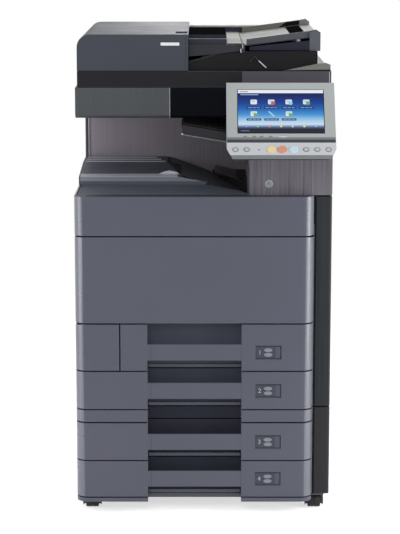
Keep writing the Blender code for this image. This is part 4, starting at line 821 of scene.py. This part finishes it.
# Rims and what they hold: (rim, plate, x0, x1, z0, z1, the rim's outer and inner corner radius,
# its width, and how far the rim and the plate stand out).
for name, plate, x0, x1, z0, z1, radius, inner_radius, width, rim_proud, plate_proud in (
        ("connector_rim", "connector_plate", -0.275, -0.15, 0.3, 0.38, 0.006, 0.004, 0.003, 0.0012,
            0.0004),
        ("inlet_rim", "inlet_cover", -0.275, -0.215, 0.085, 0.125, 0.004, 0.003, 0.004, 0.002,
            0.0006)):
    inner = (x0 + width, x1 - width, z0 + width, z1 - width)
    fit(ring(name, rectangle(x0, x1, z0, z1, radius), rectangle(*inner, inner_radius), "Y",
            back_y - 0.0003, back_y + rim_proud), umber_side, "cabinet", "charcoal_cover")
    under = np.array(inner) + (-0.0001, 0.0001, -0.0001, 0.0001)
    trim(plate, rectangle(*under, inner_radius), "Y", back_y - 0.0003, back_y + plate_proud, 0,
        gap_black, "charcoal_cover")
trim("rating_plate", rectangle(0.15, 0.24, 0.085, 0.125, 0.002), "Y", back_y - 0.0002,
    back_y + 0.0003, 0, silver, "charcoal_cover")

# ---------------------------------------------------------------- scanner
# The flatbed: a dark housing with a brown-grey skin on the left of its front and a glossy black
# one on the right, the platen glass, and the lamp carriage on its rails.
soften("scanner_housing", charcoal, 0.001, 3)
clear_glass, tree, shader = blank("clear_glass")
shader["Transmission Weight"].default_value = 1.0
shader["IOR"].default_value = 1.45
smear = wire(tree, "TexNoise", {"Vector": wire(tree, "TexCoord", {}, "Object"), "Scale": 9.0},
    "Fac")
tree.links.new(wire(tree, "MapRange", {"Value": smear, "To Min": 0.01, "To Max": 0.05}),
    shader["Roughness"])
dress("platen_glass", clear_glass)
soften("scan_carriage", black_satin, 0.0015)
low, high = np.array(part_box("scan_carriage"))
lamp_white = moulded("lamp_white", (226, 230, 232), 0.3, 0.4, 0.01)
for number, x in enumerate((low[0] + 0.012, low[0] + 0.034)):
    trim(f"scan_lamp_{number}", rectangle(x, x + 0.008, low[1] + 0.008, high[1] - 0.008, 0.002),
        "Z", high[2] - 0.0004, high[2] + 0.001, 0.0004, lamp_white, "black_plastic",
        "scan_carriage")
gloss_black = moulded("gloss_black", (12, 15, 21), 0.14, 0.03, 0.02, 900.0, 0.03, 0.00001)
low, high = np.array(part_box("scanner_housing"))
bend = np.linspace(0, np.pi / 2, 9)


def front_skin(name, x0, x1, proud, thick, finish, slot):
    """A sheet over the scanner's front: down the face and round its lower edge, carried across."""
    radius = 0.012
    top, bottom = high[2] - 0.0008, low[2]
    arc = np.stack([low[1] + radius - radius * np.cos(bend),
            bottom + radius - radius * np.sin(bend)], axis=-1)
    path = np.concatenate([[(low[1], top)], arc])
    out = np.concatenate([[(-1, 0)], np.stack([-np.cos(bend), -np.sin(bend)], axis=-1)])
    outline = np.concatenate([path + out * proud, (path - out * (thick - proud))[::-1]])
    trim(name, outline, "X", x0, x1, 0, finish, slot)


split = -0.0785
umber_skin = brushed("brushed_umber_skin", (72, 75, 79), 0.08, 0.34, 0.3)
front_skin("scanner_skin_left", low[0] + 0.0012, split - 0.0006, 0.0006, 0.001, umber_skin,
    "brushed_umber")
front_skin("scanner_skin_right", split + 0.0006, high[0] - 0.0012, 0.0006, 0.001, gloss_black,
    "black_plastic")
front_skin("scanner_skin_joint", split - 0.0006, split + 0.0006, 0.0008, 0.001, silver,
    "brushed_umber")

# ---------------------------------------------------------------- document feeder
# The lid over the glass with its white backing, hinged at the rear. On it sit the feeder's box
# with its lifting cover and pick-up roller, the deck, the lifting input tray and the exit tray.
feeder_dark = moulded("feeder_dark", (35, 34, 38), 0.48, 0.1)
feeder_grey = moulded("feeder_grey", (72, 75, 84), 0.44, 0.06)
cover_dark = moulded("cover_dark", (52, 55, 64), 0.45, 0.1)
# Near black: the input tray's pads, and painted shade on the pick-up's top.
near_black_and_shade = moulded("near_black_and_shade", (24, 24, 27), 0.9, 0.0)
deck_dark = moulded("deck_dark", (47, 49, 54), 0.45, 0.15)
rail_light = moulded("rail_light", (168, 168, 163), 0.42, 0.3)
# A mid grey for rims and guides, also used for painted highlight lines.
rim_grey_and_highlight = moulded("rim_grey_and_highlight", (70, 72, 81), 0.42, 0.3)
end_grey = moulded("end_grey", (84, 86, 95), 0.4, 0.3)
tray_grey = moulded("tray_grey", (114, 114, 109), 0.5, 0.1, 0.06)
wedge_grey = moulded("wedge_grey", (118, 118, 114), 0.5, 0.1)
wall_navy = moulded("wall_navy", (24, 27, 42), 0.4, 0.2)
output_black = moulded("output_black", (26, 26, 28), 0.45, 0.1)
white_film = moulded("white_film", (236, 236, 232), 0.55, 0.2, 0.01)
white_gloss = moulded("white_gloss", (232, 234, 236), 0.2, 0.5, 0.01)
base_skin = moulded("base_skin", (72, 70, 77), 0.42, 0.25)
feeder_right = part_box("feeder_output_tray")[0][0] - 0.0003
feeder_front, feeder_top, deck_top = at(0.1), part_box("feeder_frame")[1][2], 1.1075
tray_low, tray_high = np.array(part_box("feeder_input_tray"))
(lid_left, _, lid_foot), (lid_right, _, lid_head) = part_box("feeder_base")
soften("feeder_base", feeder_dark, 0.0015, 3)
soften("platen_backing", white_film, 0.0005)
soften("feeder_frame", feeder_grey, 0.001, 2, [
    (deck_dark, lambda x, y, z, n: (x > feeder_right - 0.01) & (z < deck_top + 0.001)
        & (y < tray_high[1])),
    (cover_dark, lambda x, y, z, n: (x > feeder_right) & (y > tray_high[1]) & (n[2] < 0.5))])
# The pick-up's upward faces on the feeder cover are near black: painted shade where the pick-up
# sits deep.
soften("feeder_cover", feeder_grey, 0.0012, 3, [
    (cover_dark, lambda x, y, z, n: (x > feeder_right + 0.001) & (n[2] < 0.5)),
    (near_black_and_shade, lambda x, y, z, n: (x > feeder_right + 0.001) & (n[2] > 0.5))])
soften("feeder_output_tray", black_satin, 0.001)
soften("feeder_input_tray", feeder_dark, 0.001, 2, [
    (tray_grey, lambda x, y, z, n: (n[2] > 0.7) | ((n[1] < -0.9) & (y > tray_high[1] - 0.012))),
    (rim_grey_and_highlight, lambda x, y, z, n: (n[1] < -0.9) & (y < tray_low[1] + 0.004)),
    (end_grey, lambda x, y, z, n: (n[0] > 0.6) & (x > 0.262))])
soften("feeder_roller", rubber, 0.0003)

# Trims on upright faces of the feeder: joint lines, the status lamp, the skin of the lid's edge,
# and the hinge bracket; a pale line on the deck's front edge and two pale strips on the bracket are
# painted highlights. Each is (name, x0, x1, z0, z1, corner radius, from, to, finish).
upright_parts = [
    ("feeder_joint", -0.0413, -0.0407, lid_head + 0.001, feeder_top - 0.001, 0, -0.0003, 0.0004,
        line_dark),
    ("status_lamp", -0.0996, -0.0559, 1.1058, 1.113, 0.0012, -0.0008, 0.0004, white_gloss),
    # A pale line along the deck's front edge: a painted highlight.
    ("deck_highlight_line", feeder_right + 0.001, 0.0905, 1.105, 1.1066, 0, 0.0115, 0.0123, rim_grey_and_highlight),
    ("feed_guide", feeder_right + 0.0008, 0.055, deck_top + 0.0003, 1.1205, 0.0015, 0.016, 0.029,
        cover_dark),
    ("base_skin", 0.091, 0.2985, lid_foot + 0.0012, lid_head - 0.0008, 0.001, -0.0006, 0.0004,
        base_skin),
    ("base_skin_line", 0.295, 0.2962, lid_foot + 0.002, lid_head - 0.002, 0, -0.0009, -0.0004,
        pale_grey_and_highlight),
    ("base_edge_line", feeder_right, 0.0905, lid_head - 0.0012, lid_head - 0.0002, 0, -0.0004,
        0.0004, rim_grey_and_highlight),
    ("base_shadow_line", lid_left + 0.002, lid_right - 0.002, lid_foot + 0.0002, lid_foot + 0.0018,
        0, -0.0004, 0.0004, line_dark),
    ("hinge_bracket", 0.0862, 0.0975, 1.0885, 1.1105, 0.003, 0.007, 0.0116, deck_dark),
    # Two pale strips on the hinge bracket: painted highlights.
    ("hinge_bracket_edge", 0.0915, 0.0933, 1.0985, 1.109, 0.0008, 0.0064, 0.0074, pale_grey_and_highlight),
    ("hinge_bracket_foot_highlight", 0.0868, 0.089, 1.089, 1.098, 0.0008, 0.006, 0.0074, pale_grey_and_highlight),
]
for name, x0, x1, z0, z1, radius, near, far, finish in upright_parts:
    trim(name, rectangle(x0, x1, z0, z1, radius), "Y", feeder_front + near, feeder_front + far,
        0.0003, finish, "charcoal_cover", "feeder")

# Pieces that lie flat: the deck, its guide and rail, and the latch on the cover. Each is
# (name, x0, x1, from, to behind the fronts, corner radius, z0, z1, finish, body).
flat_parts = [
    ("light_deck", 0.056, 0.0908, 0.117, 0.608, 0.002, deck_top - 0.0002, deck_top + 0.0008,
        tray_grey, "feeder"),
    ("deck_front_guide", 0.056, 0.0905, 0.113, 0.1165, 0.001, deck_top - 0.0002, deck_top + 0.003,
        rim_grey_and_highlight, "feeder"),
    ("rear_rail_cap", feeder_right + 0.0015, 0.23, 0.613, 0.653, 0.003, 1.1196, 1.124, rail_light,
        "feeder"),
    ("cover_latch", -0.065, -0.0372, 0.16, 0.24, 0.004, feeder_top - 0.0002, feeder_top + 0.0034,
        feeder_grey, "feeder_cover"),
    # A pale line on the latch's front edge: a painted highlight.
    ("cover_latch_edge", -0.064, -0.0382, 0.1608, 0.165, 0.001, feeder_top + 0.0032,
        feeder_top + 0.0042, pale_grey_and_highlight, "feeder_cover"),
]
for name, x0, x1, near, far, radius, z0, z1, finish, body in flat_parts:
    trim(name, rectangle(x0, x1, at(near), at(far), radius), "Z", z0, z1, 0.0004, finish,
        "charcoal_cover", body)


def bar(start, end, width):
    """A straight bar's outline between two points."""
    start, end = np.array(start), np.array(end)
    along = (end - start) / np.linalg.norm(end - start)
    across = np.array([-along[1], along[0]]) * width / 2
    return np.array([start - across, end - across, end + across, start + across])


# Shapes with sloping sides: (name, outline in X and Z, from, to behind the front, finish, body).
sloped_parts = [
    ("deck_apron", [(feeder_right + 0.0008, 1.08), (0.03, 1.085), (0.086, 1.0925), (0.086, 1.1045),
            (feeder_right + 0.0008, 1.1045)], 0.008, 0.0112, deck_dark, "feeder"),
    ("tray_skirt", [(0.108, 1.093), (0.249, 1.093), (0.249, 1.1165), (0.108, 1.102)], 0.0178,
        0.0196, wall_navy, "feeder_input_tray"),
    ("tray_end_cap", [(0.2492, 1.0925), (0.2735, 1.0925), (0.2735, 1.131), (0.269, 1.137),
            (0.26, 1.1385), (0.2492, 1.136)], 0.018, 0.0206, end_grey, "feeder_input_tray"),
    ("output_side", [(feeder_right + 0.0008, 1.0482), (0.264, 1.0482), (0.264, 1.0925),
            (0.1, 1.0915), (0.03, 1.0845), (feeder_right + 0.0008, 1.069)], 0.0084, 0.0114,
        output_black, "feeder"),
    # A lighter line along the output side's upper edge: a painted highlight.
    ("output_side_edge", [(feeder_right + 0.001, 1.0682), (0.03, 1.0835), (0.03, 1.0845),
            (feeder_right + 0.001, 1.0692)], 0.0078, 0.009, rim_grey_and_highlight, "feeder"),
    ("stand_left", bar((0.108, 1.068), (0.1213, 1.0805), 0.0022), 0.006, 0.011, deck_dark,
        "feeder"),
    ("stand_right", bar((0.1205, 1.0805), (0.13, 1.07), 0.0022), 0.006, 0.011, deck_dark,
        "feeder"),
    # A pale rod at the stand's tip: a painted highlight.
    ("stand_tip_highlight", bar((0.1295, 1.0705), (0.1475, 1.0537), 0.0022), 0.0055, 0.011, pale_grey_and_highlight,
        "feeder"),
    ("side_wedge", [(0.19, 1.0474), (0.298, 1.0474), (0.298, 1.061), (0.286, 1.0655),
            (0.264, 1.0625)], 0.001, 0.0112, wedge_grey, "feeder"),
    ("side_wedge_foot", [(0.19, 1.0473), (0.2982, 1.0473), (0.2982, 1.05), (0.2, 1.0486)], 0.0004,
        0.004, feeder_dark, "feeder"),
]
for name, outline, near, far, finish, body in sloped_parts:
    trim(name, outline, "Y", feeder_front + near, feeder_front + far, 0.0005, finish,
        "charcoal_cover", body)


def slope_top(x):
    """Height of the input tray's sloping top over a point."""
    return 1.1058 + (x - 0.095) * 0.125


# The input tray's two dark pads: one on its rear rim, and one under the sheets' tail.
rim_pad = [(0.195, slope_top(0.195) + 0.0012), (0.249, slope_top(0.249) + 0.0012),
    (0.249, slope_top(0.249) + 0.0128), (0.215, slope_top(0.215) + 0.0122)]
trim("rim_pad", rim_pad, "Y", tray_high[1] - 0.0064, tray_high[1] - 0.0058, 0.0001, near_black_and_shade,
    "charcoal_cover", "feeder_input_tray")
tail_pad = rectangle(0.212, 0.247, 0.33, 0.596, 0.006)
tail = np.array([(x, at(y), slope_top(x)) for x, y in tail_pad])
fit(skin("tail_pad", [tail - (0, 0, 0.0002), tail + (0, 0, 0.0006)], ends=True), near_black_and_shade,
    "feeder_input_tray", "charcoal_cover")

# ---------------------------------------------------------------- control panel
# A silver moulding with the touchscreen in a sloping face and a strip of round keys below it,
# tilting on a steel bracket from the column.
display_length = 0.158
tilt, strip_tilt = math.radians(36), math.radians(46)
crown = np.array([0, at(0.02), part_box("panel_housing")[1][2]])
crease = crown + np.array([0, -math.sin(tilt), -math.cos(tilt)]) * display_length
panel_left, panel_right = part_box("panel_housing")[0][0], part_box("panel_housing")[1][0]


def on_panel(x, down, lift):
    """Points on the panel: X, the distance down its face, and the height off it."""
    x, down, lift = np.broadcast_arrays(*(np.asarray(value, float) for value in (x, down, lift)))
    under = down > display_length
    angle = np.where(under, strip_tilt, tilt)
    along = np.stack([0 * x, -np.sin(angle), -np.cos(angle)], -1)
    out = np.stack([0 * x, -np.cos(angle), np.sin(angle)], -1)
    start = np.where(under[..., None], crease, crown)
    below = (down - np.where(under, display_length, 0))[..., None]
    return start + along * below + out * lift[..., None] + np.stack([x, 0 * x, 0 * x], -1)


def plaque(name, outline, low, high, finish, edge=0.0):
    """A flat outline of (X, distance down the panel's face) standing off the face."""
    u, v = np.asarray(outline, float).T
    made = skin(name, np.stack([on_panel(u, v, low), on_panel(u, v, high)]), ends=True)
    return fit(ease(made, edge) if edge else made, finish, "panel", "panel_silver")


strip_silver = moulded("strip_silver", (207, 209, 214), 0.4, 0.3)
# A dark and a mid grey for small marks, and as painted shade on the panel.
panel_dark_marks_and_shade = moulded("panel_dark_marks_and_shade", (58, 62, 68), 0.42, 0.3)
panel_mid_marks_and_shade = moulded("panel_mid_marks_and_shade", (122, 127, 130), 0.42, 0.3)
# The housing's faces below the crease that turn downwards take mid and dark greys instead of its
# silver: painted shade.
soften("panel_housing", silver, 0.0012, 3, [
    (strip_silver, lambda x, y, z, n: (n[1] < -0.6) & (n[2] > 0.62) & (z < crease[2])),
    (panel_mid_marks_and_shade, lambda x, y, z, n: (n[2] < -0.1) & (n[2] > -0.5) & (z < crease[2] - 0.015)),
    (panel_dark_marks_and_shade, lambda x, y, z, n: (n[2] < -0.5) & (z < crease[2] - 0.015))])
dress("panel_screen", gloss_black)
bracket_paint = moulded("bracket_paint", (120, 121, 124), 0.45, 0.35)
soften("panel_bracket", bracket_paint, 0.0006)
# The crease under the screen's face: a dark band and a mid band, both painted shade.
for name, top, foot, proud, finish in (("crease_band_shade", 0.15, 0.1578, 0.0003, panel_dark_marks_and_shade),
                                       ("crease_shade", 0.144, 0.15, 0.0002, panel_mid_marks_and_shade)):
    plaque(name, rectangle(panel_left + 0.0006, panel_right - 0.0006, top, foot), -0.0002, proud,
        finish, 0.0001)
for number, x in enumerate((0.095, 0.1157, 0.132, 0.153)):
    plaque(f"panel_mark_{number}", rectangle(x - 0.004, x + 0.004, 0.1405, 0.1432, 0.0009),
        -0.0002, 0.0003, panel_mid_marks_and_shade)
plaque("panel_slot", [(0.17 + 0.0105 * (1 + math.cos(a)), 0.1415 + 0.0032 * math.sin(a))
        for a in np.linspace(0, np.pi, 13)], -0.0002, 0.0004, strip_silver)
plaque("strip_mark", rectangle(panel_left + 0.0705, panel_left + 0.0745, 0.1775, 0.18, 0.0011),
    -0.0002, 0.0003, panel_dark_marks_and_shade)

key_white = moulded("key_white", (196, 198, 200), 0.35, 0.4)
key_tones = {"key_reset": (240, 220, 164), "key_stop": (226, 152, 124),
    "key_start": (204, 232, 244)}
# Distances of the keys from the panel's left edge.
key_across = {"key_home": 0.0195, "key_status": 0.045, "key_reset": 0.1007, "key_stop": 0.1251,
    "key_start": 0.1518, "key_interrupt": 0.1794, "key_counter": 0.2047, "key_sleep": 0.23}
strip_out = np.array([0, -math.cos(strip_tilt), math.sin(strip_tilt)])
for node, across in key_across.items():
    radius = 0.0105 if node in key_tones else 0.0052
    finish = moulded(node + "_cap", key_tones[node], 0.35, 0.4) if node in key_tones else key_white
    centre = on_panel(panel_left + across, display_length + 0.02, 0.0)
    cap = [(0, -0.0048), (radius, -0.0048), (radius, 0.0004), (radius - 0.0003, 0.0009),
        (radius - 0.001, 0.0012), (radius * 0.55, 0.001), (0, 0.0008)]
    fit(turned(node + "_dome", cap, centre, strip_out, 40), finish, node, slots[node], node)
    rim = [(radius + 0.0005, -0.0004), (radius + 0.0019, -0.0004), (radius + 0.0019, 0.0002),
        (radius + 0.0011, 0.0006), (radius + 0.0005, 0.0003), (radius + 0.0005, -0.0004)]
    # Round the small keys the ring is mid grey: a painted shade.
    fit(turned(node + "_ring", rim, centre, strip_out, 40),
        strip_silver if node in key_tones else panel_mid_marks_and_shade, "panel", "panel_silver")

# The lit picture: thin closed plates in one mesh, each point with its own colour.
lit_low, lit_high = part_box("panel_screen")[0][0] + 0.0014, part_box("panel_screen")[1][0] - 0.0014
lit_top, lit_foot = 0.0194, 0.1326
layer_step, plate_depth = 0.00006, 0.00004


def on_screen(u, v, layer):
    """Front and back rings of points for shares across and down the picture, at a layer."""
    x = lit_low + np.asarray(u) * (lit_high - lit_low)
    down = lit_top + np.asarray(v) * (lit_foot - lit_top)
    back = layer * layer_step
    return on_panel(x, down, back), on_panel(x, down, back + plate_depth)


plates = []
# The field behind the icons: shares of the way down, and the colour there.
stops = [(0.0, (20, 32, 84)), (0.14, (18, 36, 100)), (0.3, (22, 62, 142)), (0.45, (34, 104, 182)),
    (0.58, (70, 150, 214)), (0.72, (168, 208, 238)), (0.8, (206, 226, 244)),
    (0.86, (92, 110, 150)), (0.91, (30, 36, 66)), (1.0, (22, 22, 30))]
front = [on_screen((0, 1), (v, v), 1) for v, tone in stops]
plates.append((np.array([[b[0], b[1], a[1], a[0]] for a, b in front]),
        np.array([[shade(*tone)] * 4 for v, tone in stops])))


def plate(outline, layer, tone):
    """Adds a plate of one colour to the picture."""
    u, v = np.asarray(outline, float).T
    back, near = on_screen(u, v, layer)
    plates.append((np.stack([back, near]), np.broadcast_to(shade(*tone), (2, len(u), 4))))


def round_plate(u, v, size, layer, tone, sides=20):
    """Adds a round plate; the picture is 1.77 times as wide as it is high."""
    angle = np.linspace(0, 2 * np.pi, sides, endpoint=False)
    plate(np.stack([u + size / 1.77 * np.cos(angle), v + size * np.sin(angle)], -1), layer, tone)


plate(rectangle(0.0, 1.0, 0.0, 0.075), 2, (236, 240, 244))
plate(rectangle(0.02, 0.12, 0.03, 0.052), 3, (150, 160, 176))
plate(rectangle(0.03, 0.24, 0.1, 0.122), 2, (150, 170, 206))
plate(rectangle(0.0, 1.0, 0.905, 1.0), 2, (36, 38, 48))
plate(rectangle(0.03, 0.13, 0.935, 0.965), 3, (92, 100, 140))
grey_page, green, red = (228, 234, 238), (104, 176, 122), (206, 96, 84)
sky_blue, yellow = (150, 206, 232), (226, 206, 96)
icons = [(0.185, 0.285, grey_page, None), (0.39, 0.285, grey_page, red),
    (0.595, 0.285, grey_page, sky_blue), (0.8, 0.285, grey_page, green),
    (0.185, 0.56, grey_page, green), (0.39, 0.56, sky_blue, None), (0.595, 0.56, grey_page, green)]
for number, (u, v, tone, badge) in enumerate(icons):
    if number == 5:  # a slanted bar, where the rest are pages with two lines
        plate([(u - 0.04, v - 0.05), (u - 0.022, v - 0.065), (u + 0.04, v + 0.045),
                (u + 0.036, v + 0.068), (u + 0.018, v + 0.06)], 3, tone)
    else:
        plate(rectangle(u - 0.038, u + 0.038, v - 0.058, v + 0.052, 0.016), 3, tone)
        plate(rectangle(u - 0.026, u + 0.02, v - 0.034, v - 0.02), 4, (170, 182, 198))
        plate(rectangle(u - 0.026, u + 0.01, v - 0.008, v + 0.004), 4, (170, 182, 198))
    if badge:
        round_plate(u + 0.02, v + 0.024, 0.044, 5, badge)
    plate(rectangle(u - 0.085, u + 0.085, v + 0.105, v + 0.155), 3,
        (22, 34, 84) if number < 4 else (58, 66, 88))
    for a, b in ((-0.07, -0.022), (-0.014, 0.026), (0.034, 0.07)):
        plate(rectangle(u + a, u + b, v + 0.122, v + 0.138), 4, (150, 166, 202))
buttons = ((70, 130, 210), green, red, yellow, (190, 190, 196), yellow, (92, 140, 216))
for number, tone in enumerate(buttons):
    round_plate(0.095 + number * 0.135, 0.845, 0.026, 3, tone)
    round_plate(0.095 + number * 0.135, 0.845, 0.012, 4, (232, 236, 240))

points, faces, inks = [], [], []
for grid, colours in plates:
    faces += grid_faces(*grid.shape[:2], True, len(points))
    points += grid.reshape(-1, 3).tolist()
    inks.append(np.reshape(colours, (-1, 4)))
picture = bpy.data.meshes.new("screen_picture")
picture.from_pydata(points, [], faces)
settle(picture)
ink_layer = picture.attributes.new("ink", "FLOAT_COLOR", "POINT")
ink_layer.data.foreach_set("color", np.concatenate(inks).ravel())
lit, tree, shader = blank("lit_picture")
for socket, value in (("Base Color", (0.01, 0.01, 0.012, 1)), ("Roughness", 0.18),
        ("Specular IOR Level", 0.06), ("Emission Strength", 0.95)):
    shader[socket].default_value = value
tree.links.new(wire(tree, "Attribute", {}, "Color", attribute_name="ink"),
    shader["Emission Color"])
fit(put_in("screen_picture", picture), lit, "panel", "screen_glass")
